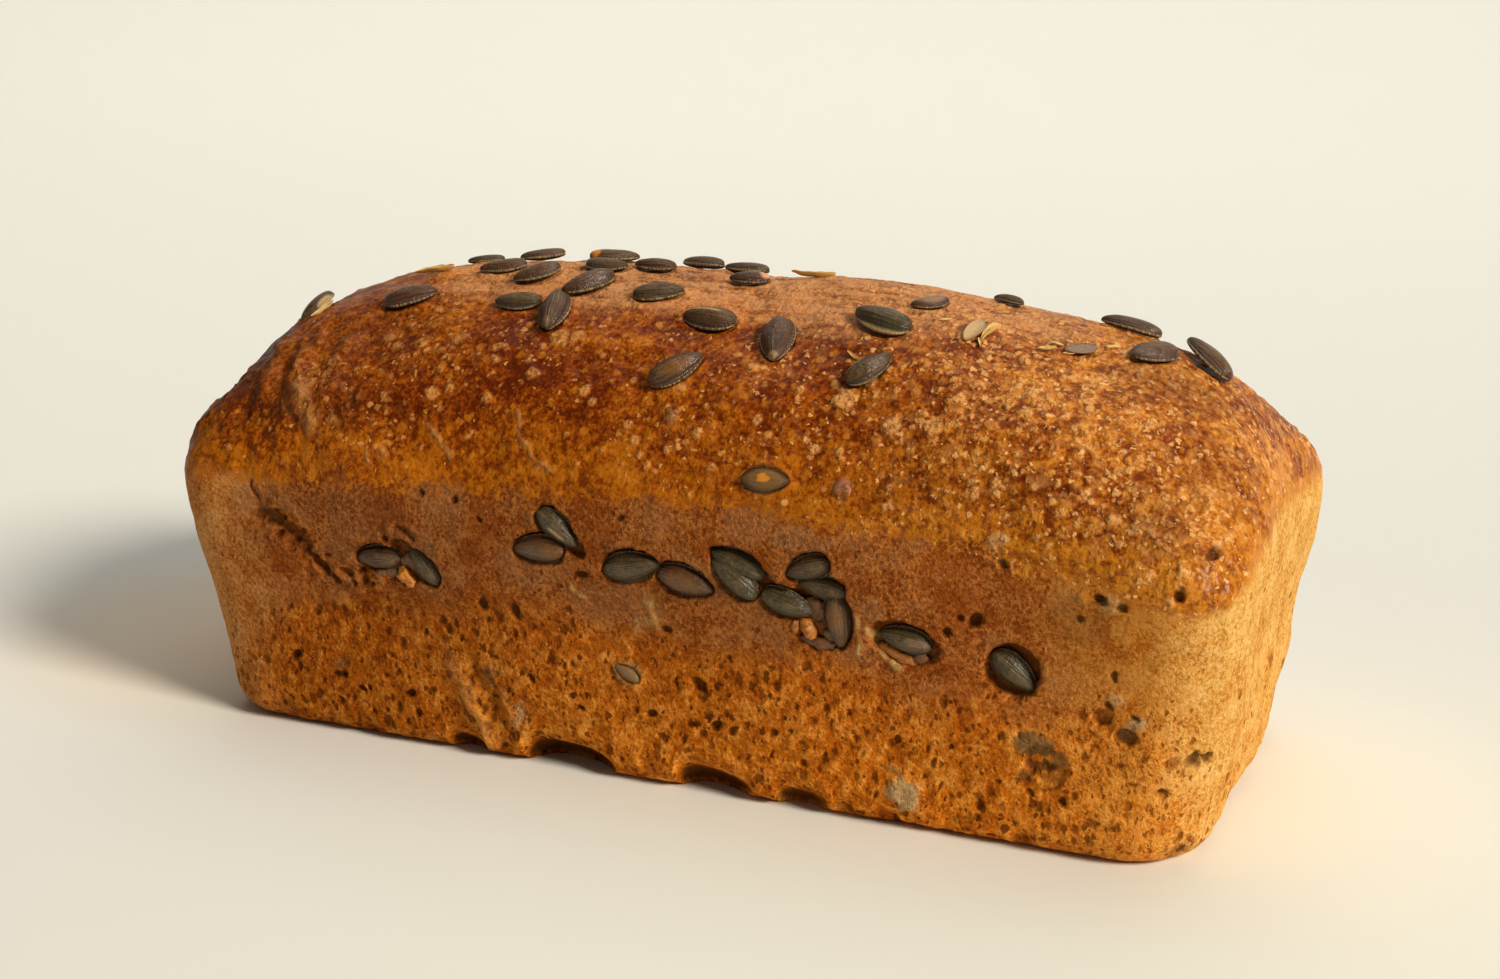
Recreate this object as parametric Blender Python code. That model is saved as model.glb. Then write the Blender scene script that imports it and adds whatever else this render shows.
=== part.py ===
"""A spelt sourdough loaf baked in a tin, with pumpkin seeds on its top and in its front side.

The loaf is one solid. Its straight sides taper down to a flat base, and its top is a rounded dome.
Lengths and places are in millimetres here, and every mesh is made in metres.
X runs along the loaf, the front side faces -Y, and Z is up. The origin is the middle of the base.
"""

import bpy
import numpy as np

METRES = 0.001

# Driving dimensions of the loaf.
BASE_LENGTH = 262.0
BASE_WIDTH = 104.0
RIM_LENGTH = 277.0
RIM_WIDTH = 116.0
RIM_HEIGHT = 66.5
CREST_HEIGHT = 118.0
BASE_CORNER = 19.0
RIM_CORNER = 16.0
FOOT_ROUNDING = 7.0

# How full the dome is along and across the loaf: the two powers of a rounded profile.
FULL_ALONG = (3.1, 2.8)
FULL_ACROSS = (1.82, 1.78)
PROFILE_SAMPLES = 2001

# Grid of the crust.
COLUMNS_ALONG = 27
COLUMNS_ACROSS = 12
WALL_ROWS = 7
FOOT_STEPS = (0.5, 0.15, 0.0)
BASE_INSET = 14.0
INNER_CORNER = 5.0
SHARP_ANGLE = 40.0

# Soft unevenness of the whole crust: a sum of waves in seeded directions.
LUMP_SEED = 7
LUMP_COUNT = 9
LUMP_WAVELENGTHS = (34.0, 75.0)
LUMP_HEIGHT = 0.32

# Folds at the left end of the dome: middle, spacing, lean with height, reach and height.
FOLD_CENTRE = (-108.0, -44.0, 90.0)
FOLD_SPACING = 12.0
FOLD_LEAN = 0.35
FOLD_REACH = (17.0, 22.0, 13.0)
FOLD_HEIGHT = 0.9

# Single swellings and dips of the crust: place, reach, height.
SWELLINGS = (
    ((-136.0, -43.0, 80.0), 6.0, 1.6),
    ((-129.0, -31.0, 92.0), 14.0, -2.2),
    ((-127.0, 10.0, 98.0), 14.0, -1.4),
    ((118.0, -44.0, 66.0), 12.0, 0.9),
    ((136.0, 30.0, 40.0), 11.0, -1.0),
    ((135.0, 44.0, 24.0), 8.0, 1.2),
    ((-70.0, -56.0, 18.0), 16.0, 0.8),
    ((70.0, 57.0, 20.0), 18.0, 0.9),
    ((-20.0, 57.0, 50.0), 20.0, -0.9),
)

# Pockets in the front side, where seeds lie: x, z, half length, half height, tilt in degrees, depth.
POCKETS = (
    (-75.5, 52, 8.0, 4.6, 3, 2.6),
    (-62.5, 50.5, 7.5, 5.6, -35, 3.0),
    (-26.5, 63, 9.5, 8.2, -20, 2.8),
    (-5, 58.5, 9.0, 4.8, 8, 2.6),
    (9, 56.5, 9.2, 5.0, -10, 2.6),
    (22, 60.5, 9.4, 6.6, -28, 3.0),
    (35, 55, 9.0, 6.2, -18, 3.0),
    (43.5, 57, 8.4, 10.5, 12, 3.6),
    (63, 49, 9.2, 6.0, -10, 2.8),
    (88.5, 44.8, 7.0, 7.2, 0, 3.4),
    (-110, 61, 2.6, 9.0, 35, 1.8),
    (110, 38, 4.2, 3.0, 0, 2.2),
    (97, 24, 6.5, 5.2, -20, 1.5),
)
POCKET_STANDOFF = 2.0
CUTTER_SEGMENTS = 12
CUTTER_RINGS = 8

# Hollows under the front edge, where the dough didn't reach the tin: x, half length, height, reach inwards.
# Their middle lies this far in front of the edge and below the base.
HOLLOW_MIDDLE = (-1.0, -1.0)
EDGE_HOLLOWS = (
    (-84, 3.5, 3.6, 5.0),
    (-56, 6.5, 5.6, 8.0),
    (-44, 2.4, 3.4, 5.0),
    (-28, 14.0, 8.0, 12.0),
    (-4, 2.2, 3.2, 4.0),
    (13, 11.0, 7.6, 10.0),
    (36, 7.5, 6.0, 8.0),
    (47, 3.0, 3.6, 5.0),
    (58, 3.5, 3.8, 5.0),
    (74, 3.0, 3.2, 4.0),
    (91, 4.0, 3.8, 5.0),
)

# A pumpkin seed. Width and rise are shares of its length, and its outline is half widths along it.
SEED_WIDTH = 0.60
SEED_RISE = 0.15
SEED_OUTLINE = ((0.0, 0.0), (0.18, 0.62), (0.52, 1.0), (0.84, 0.70), (1.0, 0.0))
SEED_TOP_SPREAD = 0.62
SEED_ROOT = 3.0
SEED_ROOT_SPREAD = 0.92

# Seeds on the dome: x, y, heading in degrees, length, height of its edge over the crust, lift of its tip.
TOP_SEEDS = (
    (-117, -14, 70, 13, 0.9, 10),
    (-84.5, -20, 199, 14.5, 0.9, 0),
    (-78, 8, 20, 10, 0.8, 0),
    (-65, -6, 20, 12.5, 0.9, 0),
    (-61, 8, 30, 12, 1.5, 6),
    (-53, -10, 36, 12.5, 1.2, 4),
    (-52.5, -22, 6, 12.5, 0.8, 0),
    (-40, -26, 102, 14.5, 1.1, 0),
    (-36.5, -14, 48, 14.5, 1.0, 0),
    (-37.5, 3, 200, 13, 1.2, 0),
    (-36, -4, 178, 12, 0.8, 0),
    (-23.5, -2, 0, 11.5, 1.0, 0),
    (-16, -16, 198, 13, 0.8, 0),
    (-16, 10.5, -5, 12, 1.3, 0),
    (-2.5, 7.5, 2, 12, 1.1, 0),
    (3.5, -4.5, 9, 10.5, 0.9, 0),
    (0.5, -23, -8, 15, 1.0, 3),
    (20.5, -28, 104, 15, 1.2, 0),
    (-1, -38.5, 222, 14.5, 1.1, 0),
    (44, -19.5, -18, 16, 1.1, 0),
    (46, -33.5, 232, 13, 1.0, 0),
    (52, -9, 35, 9.5, 0.7, 0),
    (66.5, -18, 74, 10, 0.8, 0),
    (67.5, 4, -9, 8, 0.9, 0),
    (91, -13.5, 37, 11.5, 0.7, 0),
    (96.5, 8.5, 6, 15, 1.2, 3),
    (105.5, -6, 58, 14.5, 1.0, 0),
    (115.5, 4, -20, 15, 2.0, -8),
)

# Seeds on the far slope, which follow a rule: how many, where, how far apart, how long and how high.
FAR_SEED = 23
FAR_COUNT = 9
FAR_X = (-104.0, 108.0)
FAR_Y = (31.0, 44.0)
FAR_APART = 15.0
FAR_LENGTH = (12.0, 14.5)
FAR_EDGE = 1.0

# Seeds in the front side: x, z, heading in degrees, length, depth of its edge under the crust.
FRONT_SEEDS = (
    (-75.5, 51.5, 5, 13, 1.9),
    (-62, 51, -50, 12, 2.0),
    (-24, 66, 142, 13, 1.6),
    (-29.5, 60, 5, 14.5, 1.5),
    (-5, 58.5, 194, 15.5, 1.4),
    (9, 56.5, 168, 15, 1.5),
    (22, 62.5, -19, 14.5, 2.3),
    (21.5, 59, -37, 14, 1.3),
    (34.5, 54.5, 164, 13.5, 1.4),
    (40, 64, 23, 12.5, 2.0),
    (43.5, 59.5, -5, 12, 2.3),
    (47, 51.5, 95, 14.5, 2.0),
    (63, 49, -10, 13, 1.8),
    (88.5, 44.5, 141, 13, 2.2),
    (28, 83, 182, 12, 0.1),
    (-8, 30, -29, 7.5, 0.2),
)

# Step by which the crust's slope is measured, and points along a profile when a height is looked up.
SURFACE_STEP = 1.0
SURFACE_SAMPLES = 800


def lump_waves():
    """Wave vectors and phases of the soft unevenness."""
    rng = np.random.default_rng(LUMP_SEED)
    direction = rng.normal(size=(LUMP_COUNT, 3))
    direction /= np.linalg.norm(direction, axis=1)[:, None]
    length = rng.uniform(*LUMP_WAVELENGTHS, LUMP_COUNT)
    phase = rng.uniform(0.0, 2 * np.pi, LUMP_COUNT)
    return direction * (2 * np.pi / length)[:, None], phase


def relief(points):
    """Height of the crust's unevenness at each point, outwards: waves, folds and single swellings."""
    waves, phase = lump_waves()
    height = LUMP_HEIGHT * np.sin(points @ waves.T + phase).sum(axis=1)
    away = (points - FOLD_CENTRE) / FOLD_REACH
    along = points[:, 0] + FOLD_LEAN * points[:, 2]
    folds = np.cos(2 * np.pi * along / FOLD_SPACING)
    height += FOLD_HEIGHT * folds * np.exp(-(away**2).sum(axis=1))
    for place, reach, rise in SWELLINGS:
        distance = np.linalg.norm(points - np.array(place), axis=1)
        height += rise * np.exp(-((distance / reach) ** 2))
    # The crust lies flat where it stands, so the unevenness fades out towards the base.
    return height * np.clip(points[:, 2] / (2 * FOOT_ROUNDING), 0.0, 1.0)


def rise(share, powers):
    """A rounded profile: 1 in the middle, where share is 0, and 0 at the rim, where it is 1."""
    return np.clip(1.0 - np.abs(share) ** powers[0], 0.0, 1.0) ** (1.0 / powers[1])


def profile_stops(half, powers, count):
    """Places from -1 to 1 across the dome, evenly spaced along its curved profile."""
    share = np.sin(np.linspace(0.0, np.pi / 2, PROFILE_SAMPLES))
    height = (CREST_HEIGHT - RIM_HEIGHT) * rise(share, powers)
    length = np.concatenate([[0.0], np.cumsum(np.hypot(np.diff(share * half), np.diff(height)))])
    stops = np.interp(np.linspace(0.0, length[-1], count), length, share)
    return np.concatenate([-stops[:0:-1], stops])


def round_corner(x, y, half_x, half_y, radius):
    """Moves the points of a rectangle's square corners onto round ones."""
    dx = np.clip(np.abs(x) - (half_x - radius), 0.0, None) / radius
    dy = np.clip(np.abs(y) - (half_y - radius), 0.0, None) / radius
    round_x = half_x - radius + radius * dx * np.sqrt(1.0 - dy * dy / 2)
    round_y = half_y - radius + radius * dy * np.sqrt(1.0 - dx * dx / 2)
    new_x = np.sign(x) * np.where(dx > 0, round_x, np.abs(x))
    new_y = np.sign(y) * np.where(dy > 0, round_y, np.abs(y))
    return new_x, new_y


def dome_height(x, y):
    """Height of the smooth dome over a place inside the rim."""
    along = rise(x / (RIM_LENGTH / 2), FULL_ALONG)
    across = rise(y / (RIM_WIDTH / 2), FULL_ACROSS)
    return RIM_HEIGHT + (CREST_HEIGHT - RIM_HEIGHT) * along * across


def side_halves(z):
    """Half length, half width and corner radius of the sides at a height."""
    share = z / RIM_HEIGHT
    half_x = (BASE_LENGTH + (RIM_LENGTH - BASE_LENGTH) * share) / 2
    half_y = (BASE_WIDTH + (RIM_WIDTH - BASE_WIDTH) * share) / 2
    corner = BASE_CORNER + (RIM_CORNER - BASE_CORNER) * share
    foot = max(0.0, FOOT_ROUNDING - z)
    inset = FOOT_ROUNDING - np.sqrt(FOOT_ROUNDING**2 - foot**2)
    return half_x - inset, half_y - inset, corner - inset


def crust_mesh():
    """The smooth loaf: a grid over the dome, rings down the sides, and a flat base inside the last ring."""
    stops_x = profile_stops(RIM_LENGTH / 2, FULL_ALONG, COLUMNS_ALONG)
    stops_y = profile_stops(RIM_WIDTH / 2, FULL_ACROSS, COLUMNS_ACROSS)
    columns, rows = len(stops_x), len(stops_y)
    x, y = np.meshgrid(stops_x * RIM_LENGTH / 2, stops_y * RIM_WIDTH / 2, indexing="ij")
    z = dome_height(x, y)
    x, y = round_corner(x, y, RIM_LENGTH / 2, RIM_WIDTH / 2, RIM_CORNER)
    points = [np.stack([x, y, z], axis=-1).reshape(-1, 3)]
    index = np.arange(columns * rows).reshape(columns, rows)
    quads = [np.stack([index[:-1, :-1], index[1:, :-1], index[1:, 1:], index[:-1, 1:]], axis=-1)]
    # The rim runs along the front, up the right end, back along the far side and down the left end.
    ring = np.concatenate([index[:, 0], index[-1, 1:], index[-2::-1, -1], index[0, -2:0:-1]])
    rim_x, rim_y = stops_x[ring // rows], stops_y[ring % rows]
    straight = np.linspace(RIM_HEIGHT, FOOT_ROUNDING, WALL_ROWS + 1)[1:]
    heights = np.concatenate([straight, FOOT_ROUNDING * np.array(FOOT_STEPS)])
    made = columns * rows
    for level in list(heights) + [None]:
        half_x, half_y, corner = side_halves(level or 0.0)
        if level is None:
            half_x, half_y, corner = half_x - BASE_INSET, half_y - BASE_INSET, INNER_CORNER
        side_x, side_y = round_corner(rim_x * half_x, rim_y * half_y, half_x, half_y, corner)
        points.append(np.stack([side_x, side_y, np.full(len(ring), level or 0.0)], axis=-1))
        below = np.arange(made, made + len(ring))
        quads.append(np.stack([below, np.roll(below, -1), np.roll(ring, -1), ring], axis=-1))
        ring, made = below, made + len(ring)
    faces = np.concatenate([quad.reshape(-1, 4) for quad in quads]).tolist()
    faces.append(ring[::-1].tolist())
    return np.concatenate(points), faces


def new_object(name, points, faces, collection=None):
    """A mesh object from points in millimetres."""
    mesh = bpy.data.meshes.new(name)
    mesh.from_pydata((np.asarray(points) * METRES).tolist(), [], faces)
    mesh.update()
    made = bpy.data.objects.new(name, mesh)
    (collection or bpy.context.scene.collection).objects.link(made)
    return made


def uneven(made):
    """Moves each point of the crust along its normal by the relief."""
    mesh = made.data
    count = len(mesh.vertices)
    places, normals = np.empty(count * 3), np.empty(count * 3)
    mesh.vertices.foreach_get("co", places)
    mesh.vertices.foreach_get("normal", normals)
    places = places.reshape(-1, 3) / METRES
    places += normals.reshape(-1, 3) * relief(places)[:, None]
    mesh.vertices.foreach_set("co", (places * METRES).ravel())
    mesh.update()


def surface(first, second, on_front):
    """Point and outward normal of the crust: over (x, y) on the dome, or at (x, z) on the front side."""

    def point(first, second):
        if on_front and second < RIM_HEIGHT:
            return np.array([first, -side_halves(second)[1], second])
        if on_front:
            y = np.linspace(-RIM_WIDTH / 2, 0.0, SURFACE_SAMPLES)
            return np.array([first, np.interp(second, dome_height(first, y), y), second])
        return np.array([first, second, dome_height(first, second)])

    across = point(first + SURFACE_STEP, second) - point(first - SURFACE_STEP, second)
    up = point(first, second + SURFACE_STEP) - point(first, second - SURFACE_STEP)
    normal = np.cross(across, up)
    normal /= np.linalg.norm(normal)
    place = point(first, second)
    return place + normal * relief(place[None])[0], normal


def placed(place, normal, heading, points):
    """Turns points from a flat local frame to lie on the crust, their length along the heading."""
    level = np.array([1.0, 0.0, 0.0]) - normal * normal[0]
    level /= np.linalg.norm(level)
    up = np.cross(normal, level)
    turn = np.radians(heading)
    along = level * np.cos(turn) + up * np.sin(turn)
    across = np.cross(normal, along)
    return place + points @ np.stack([along, across, normal])


def seed_shape(length):
    """A flat pointed seed with a root below it: a rim of eight points, a smaller ring above and one below."""
    along = np.array([share for share, _ in SEED_OUTLINE])
    wide = np.array([share for _, share in SEED_OUTLINE]) * SEED_WIDTH / 2
    ring_x = np.concatenate([along, along[-2:0:-1]]) - 0.5
    ring_y = np.concatenate([-wide, wide[-2:0:-1]])
    rings = []
    for spread, level in ((SEED_ROOT_SPREAD, -SEED_ROOT), (1.0, 0.0), (SEED_TOP_SPREAD, SEED_RISE * length)):
        height = np.full(len(ring_x), level)
        rings.append(np.stack([ring_x * spread * length, ring_y * spread * length, height], axis=-1))
    sides = len(ring_x)
    faces = [list(range(sides))[::-1], [2 * sides + step for step in range(sides)]]
    for ring in range(2):
        for step in range(sides):
            after = (step + 1) % sides
            low, high = ring * sides, (ring + 1) * sides
            faces.append([low + step, low + after, high + after, high + step])
    return np.concatenate(rings), faces


def tipped(points, degrees):
    """Lifts the seed's tip by turning it about its middle."""
    turn = np.radians(degrees)
    turned = points.copy()
    turned[:, 0] = points[:, 0] * np.cos(turn) - points[:, 2] * np.sin(turn)
    turned[:, 2] = points[:, 0] * np.sin(turn) + points[:, 2] * np.cos(turn)
    return turned


def far_rows():
    """Seeds on the far slope, at seeded places that keep apart from every seed before them."""
    rng = np.random.default_rng(FAR_SEED)
    rows = []
    taken = [(row[0], row[1]) for row in TOP_SEEDS]
    while len(rows) < FAR_COUNT:
        x, y = rng.uniform(*FAR_X), rng.uniform(*FAR_Y)
        heading, length = rng.uniform(0.0, 360.0), rng.uniform(*FAR_LENGTH)
        if min(np.hypot(x - other[0], y - other[1]) for other in taken) < FAR_APART:
            continue
        taken.append((x, y))
        rows.append((x, y, heading, length, FAR_EDGE, 0))
    return rows


def make_seeds(collection):
    """Every seed as its own solid, ready to be joined to the loaf."""
    for number, (x, y, heading, length, edge, lift) in enumerate(list(TOP_SEEDS) + far_rows()):
        points, faces = seed_shape(length)
        place, normal = surface(x, y, on_front=False)
        points = tipped(points, lift) + (0.0, 0.0, edge)
        new_object(f"top_seed_{number:02d}", placed(place, normal, heading, points), faces, collection)
    for number, (x, z, heading, length, depth) in enumerate(FRONT_SEEDS):
        points, faces = seed_shape(length)
        place, normal = surface(x, z, on_front=True)
        points = points - (0.0, 0.0, depth)
        new_object(f"front_seed_{number:02d}", placed(place, normal, heading, points), faces, collection)


def ball(segments, rings):
    """Points and faces of a unit ball with its poles on Z."""
    turn = np.linspace(0.0, 2 * np.pi, segments, endpoint=False)
    tilt = np.linspace(-np.pi / 2, np.pi / 2, rings + 1)[1:-1]
    flat, lift = np.meshgrid(turn, tilt)
    points = np.stack([np.cos(flat) * np.cos(lift), np.sin(flat) * np.cos(lift), np.sin(lift)], axis=-1)
    points = np.concatenate([points.reshape(-1, 3), [[0, 0, -1], [0, 0, 1]]])
    low, high = len(points) - 2, len(points) - 1
    faces = []
    for step in range(segments):
        after = (step + 1) % segments
        faces.append([low, after, step])
        for ring in range(rings - 2):
            below, above = ring * segments, (ring + 1) * segments
            faces.append([below + step, below + after, above + after, above + step])
        top = (rings - 2) * segments
        faces.append([top + step, top + after, high])
    return points, faces


def make_hollows(collection):
    """The pockets in the front side and the hollows under its edge, as solids to be cut away."""
    points, faces = ball(CUTTER_SEGMENTS, CUTTER_RINGS)
    for number, (x, z, half_length, half_height, tilt, depth) in enumerate(POCKETS):
        place, normal = surface(x, z, on_front=True)
        # A ball that stands off the crust is widened, so that its cut has the stated size.
        radius = depth + POCKET_STANDOFF
        spread = 1.0 / np.sqrt(1.0 - (POCKET_STANDOFF / radius) ** 2)
        shape = points * (half_length * spread, half_height * spread, radius) + (0.0, 0.0, POCKET_STANDOFF)
        new_object(f"pocket_{number:02d}", placed(place, normal, tilt, shape), faces, collection)
    for number, (x, half_length, height, reach) in enumerate(EDGE_HOLLOWS):
        shape = points * (half_length, reach, height)
        shape = shape + (x, HOLLOW_MIDDLE[0] - BASE_WIDTH / 2, HOLLOW_MIDDLE[1])
        new_object(f"edge_hollow_{number:02d}", shape, faces, collection)


def fuse(loaf, maker, operation):
    """Joins or cuts everything that the maker puts in a collection, in one step, and then removes it."""
    collection = bpy.data.collections.new(operation.lower())
    bpy.context.scene.collection.children.link(collection)
    maker(collection)
    change = loaf.modifiers.new(operation.lower(), "BOOLEAN")
    change.operation = operation
    change.operand_type = "COLLECTION"
    change.collection = collection
    change.solver = "EXACT"
    bpy.context.view_layer.update()
    graph = bpy.context.evaluated_depsgraph_get()
    result = bpy.data.meshes.new_from_object(loaf.evaluated_get(graph))
    loaf.modifiers.clear()
    loaf.data = result
    for helper in list(collection.objects):
        bpy.data.objects.remove(helper)
    bpy.data.collections.remove(collection)


def crust_material():
    """Baked crust: warm brown, slightly shiny."""
    material = bpy.data.materials.new("crust")
    material.use_nodes = True
    shader = material.node_tree.nodes["Principled BSDF"]
    shader.inputs["Base Color"].default_value = (0.33, 0.12, 0.03, 1.0)
    shader.inputs["Roughness"].default_value = 0.5
    shader.inputs["Metallic"].default_value = 0.0
    return material


def main():
    for old in list(bpy.data.objects):
        bpy.data.objects.remove(old)
    points, faces = crust_mesh()
    loaf = new_object("loaf", points, faces)
    uneven(loaf)
    fuse(loaf, make_hollows, "DIFFERENCE")
    fuse(loaf, make_seeds, "UNION")
    loaf.data.name = "loaf"
    loaf.data.materials.clear()
    loaf.data.materials.append(crust_material())
    loaf.data.shade_smooth()
    loaf.data.set_sharp_from_angle(angle=np.radians(SHARP_ANGLE))


main()
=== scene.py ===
# A spelt sourdough loaf baked in a tin, with pumpkin seeds on its top and in its front side.
# Shapes are worked out in millimetres, and each mesh is written in metres. X runs along the loaf,
# the front side faces -Y, and the middle of the base is the origin.
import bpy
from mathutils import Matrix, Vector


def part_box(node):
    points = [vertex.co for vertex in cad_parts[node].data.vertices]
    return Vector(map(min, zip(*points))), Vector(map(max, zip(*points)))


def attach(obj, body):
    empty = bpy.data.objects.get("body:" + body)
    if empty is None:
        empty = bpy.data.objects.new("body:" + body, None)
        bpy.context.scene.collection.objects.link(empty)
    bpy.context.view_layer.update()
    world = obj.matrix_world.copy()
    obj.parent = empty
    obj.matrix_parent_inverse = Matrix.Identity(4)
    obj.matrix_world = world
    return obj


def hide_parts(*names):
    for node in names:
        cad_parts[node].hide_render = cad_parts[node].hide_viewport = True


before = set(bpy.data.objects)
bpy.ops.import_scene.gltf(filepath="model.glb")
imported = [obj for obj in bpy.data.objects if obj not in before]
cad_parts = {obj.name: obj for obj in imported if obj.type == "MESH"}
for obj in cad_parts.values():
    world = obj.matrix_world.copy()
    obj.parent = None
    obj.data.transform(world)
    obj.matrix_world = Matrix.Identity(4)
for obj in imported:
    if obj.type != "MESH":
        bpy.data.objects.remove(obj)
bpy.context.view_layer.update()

from types import SimpleNamespace

import bpy
import numpy as np
from mathutils import Matrix

metres = 0.001
boxLow, boxHigh = (np.array(corner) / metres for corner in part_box("loaf"))
boxMargin = 0.02                       # how far the crust stays inside the solid's box

loafForm = {
    "baseLength": 262.0, "baseWidth": 104.0, "rimLength": 277.0, "rimWidth": 116.0,
    "rimHeight": 66.5, "crestHeight": 118.0, "baseCorner": 19.0, "rimCorner": 16.0,
    "footRounding": 7.0,
    "fullAlong": (3.1, 2.8), "fullAcross": (1.82, 1.78),   # powers of the dome's profiles
    "spineHalf": 120.0,                                    # half length of the crest line
    "lumpSeed": 7, "lumpCount": 9, "lumpWavelengths": (34.0, 75.0), "lumpHeight": 0.32,
    "foldCentre": (-108.0, -44.0, 90.0), "foldSpacing": 12.0, "foldSlant": 0.35,
    "foldReach": (17.0, 22.0, 13.0), "foldHeight": 0.9,
}

# Single swellings and dips: place, reach, height.
swellings = (
    ((-136, -43, 80), 6, 1.6), ((-129, -31, 92), 14, -2.2), ((-127, 10, 98), 14, -1.4),
    ((118, -44, 66), 12, 0.9), ((136, 30, 40), 11, -1.0), ((135, 44, 24), 8, 1.2),
    ((-70, -56, 18), 16, 0.8), ((70, 57, 20), 18, 0.9), ((-20, 57, 50), 20, -0.9),
)

crustGrid = {
    "frontColumns": 936,   # the far half has half as many
    "baseRows": 36,
    "sideRows": 168,
    "domeRows": 207,
    "baseRing": 0.25,                             # innermost ring of the base, as a share
    "middle": (0.0, 0.0, 45.0),                   # each piece of crust is closed by a point near here,
    "innerShare": 0.02,                           # moved by this share of the way to the piece
}


def smooth(low, high, value):
    # 0 below low, 1 above high, and a smooth step between them.
    share = np.clip((value - low) / (high - low), 0.0, 1.0)
    return share * share * (3.0 - 2.0 * share)


def bell(gap, reach):
    # 1 where the gap is nothing, and near 0 past twice the reach.
    return np.exp(-((gap / reach) ** 2))


def withPlaces(amount, points, rows):
    # Adds a bell round each row's place: the row's own amount times the bell of the distance.
    for place, reach, more in rows:
        amount = amount + more * bell(np.linalg.norm(points - np.array(place, float), axis=-1), reach)
    return amount


def rise(share, powers):
    # A rounded profile: (1 - |share|^p)^(1/q), which is 1 in the middle and 0 at the rim.
    return np.clip(1.0 - np.abs(share) ** powers[0], 0.0, 1.0) ** (1.0 / powers[1])


def roundCorner(x, y, halfX, halfY, radius):
    # Moves the points of a rectangle's square corners onto round ones: u * sqrt(1 - v * v / 2).
    u = np.clip((np.abs(x) - halfX + radius) / radius, 0.0, None)
    v = np.clip((np.abs(y) - halfY + radius) / radius, 0.0, None)
    inX = radius * u * np.sqrt(1 - np.minimum(v, 1) ** 2 / 2)
    inY = radius * v * np.sqrt(1 - np.minimum(u, 1) ** 2 / 2)
    roundX = np.where(u > 0, halfX - radius + inX, np.abs(x))
    roundY = np.where(v > 0, halfY - radius + inY, np.abs(y))
    return np.sign(x) * roundX, np.sign(y) * roundY


def squareCorner(x, y, halfX, halfY, radius):
    # The way back from a round corner to the square one, with both measured from its centre.
    u = np.clip((np.abs(x) - halfX + radius) / radius, 0.0, 1.0)
    v = np.clip((np.abs(y) - halfY + radius) / radius, 0.0, 1.0)

    def back(first, second):
        mean = 2.0 + first**2 - second**2
        spread = 2.0 * np.sqrt(2.0) * first
        return (np.sqrt(np.clip(mean + spread, 0, None)) - np.sqrt(np.clip(mean - spread, 0, None))) / 2

    squareX = np.where(u > 0, halfX - radius + radius * back(u, v), np.abs(x))
    squareY = np.where(v > 0, halfY - radius + radius * back(v, u), np.abs(y))
    return squareX, squareY


def domeHeight(x, y):
    # Height of the smooth dome: the rim's height plus one rounded profile along times one across.
    form = loafForm
    halfX, halfY = form["rimLength"] / 2, form["rimWidth"] / 2
    squareX, squareY = squareCorner(x, y, halfX, halfY, form["rimCorner"])
    lift = rise(squareX / halfX, form["fullAlong"]) * rise(squareY / halfY, form["fullAcross"])
    return form["rimHeight"] + (form["crestHeight"] - form["rimHeight"]) * lift


def sideHalves(z):
    # Half length, half width and corner radius of the leaning sides, less a quarter circle at the foot.
    form = loafForm
    share = z / form["rimHeight"]
    halfX = (form["baseLength"] + (form["rimLength"] - form["baseLength"]) * share) / 2
    halfY = (form["baseWidth"] + (form["rimWidth"] - form["baseWidth"]) * share) / 2
    corner = form["baseCorner"] + (form["rimCorner"] - form["baseCorner"]) * share
    foot = np.clip(form["footRounding"] - z, 0.0, None)
    inset = form["footRounding"] - np.sqrt(form["footRounding"] ** 2 - foot**2)
    return halfX - inset, halfY - inset, corner - inset


def softRelief(points):
    # The loaf's own unevenness: seeded long waves, folds at the left end, and single swellings.
    form = loafForm
    rng = np.random.default_rng(form["lumpSeed"])
    direction = rng.normal(size=(form["lumpCount"], 3))
    direction /= np.linalg.norm(direction, axis=1)[:, None]
    length = rng.uniform(*form["lumpWavelengths"], form["lumpCount"])
    phase = rng.uniform(0.0, 2 * np.pi, form["lumpCount"])
    turns = points @ (direction * (2 * np.pi / length)[:, None]).T + phase
    height = form["lumpHeight"] * np.sin(turns).sum(axis=-1)
    away = (points - form["foldCentre"]) / form["foldReach"]
    along = points[..., 0] + form["foldSlant"] * points[..., 2]
    folds = form["foldHeight"] * np.cos(2 * np.pi * along / form["foldSpacing"])
    height = withPlaces(height + folds * np.exp(-(away**2).sum(axis=-1)), points, swellings)
    return height * np.clip(points[..., 2] / (2 * form["footRounding"]), 0.0, 1.0)


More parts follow.
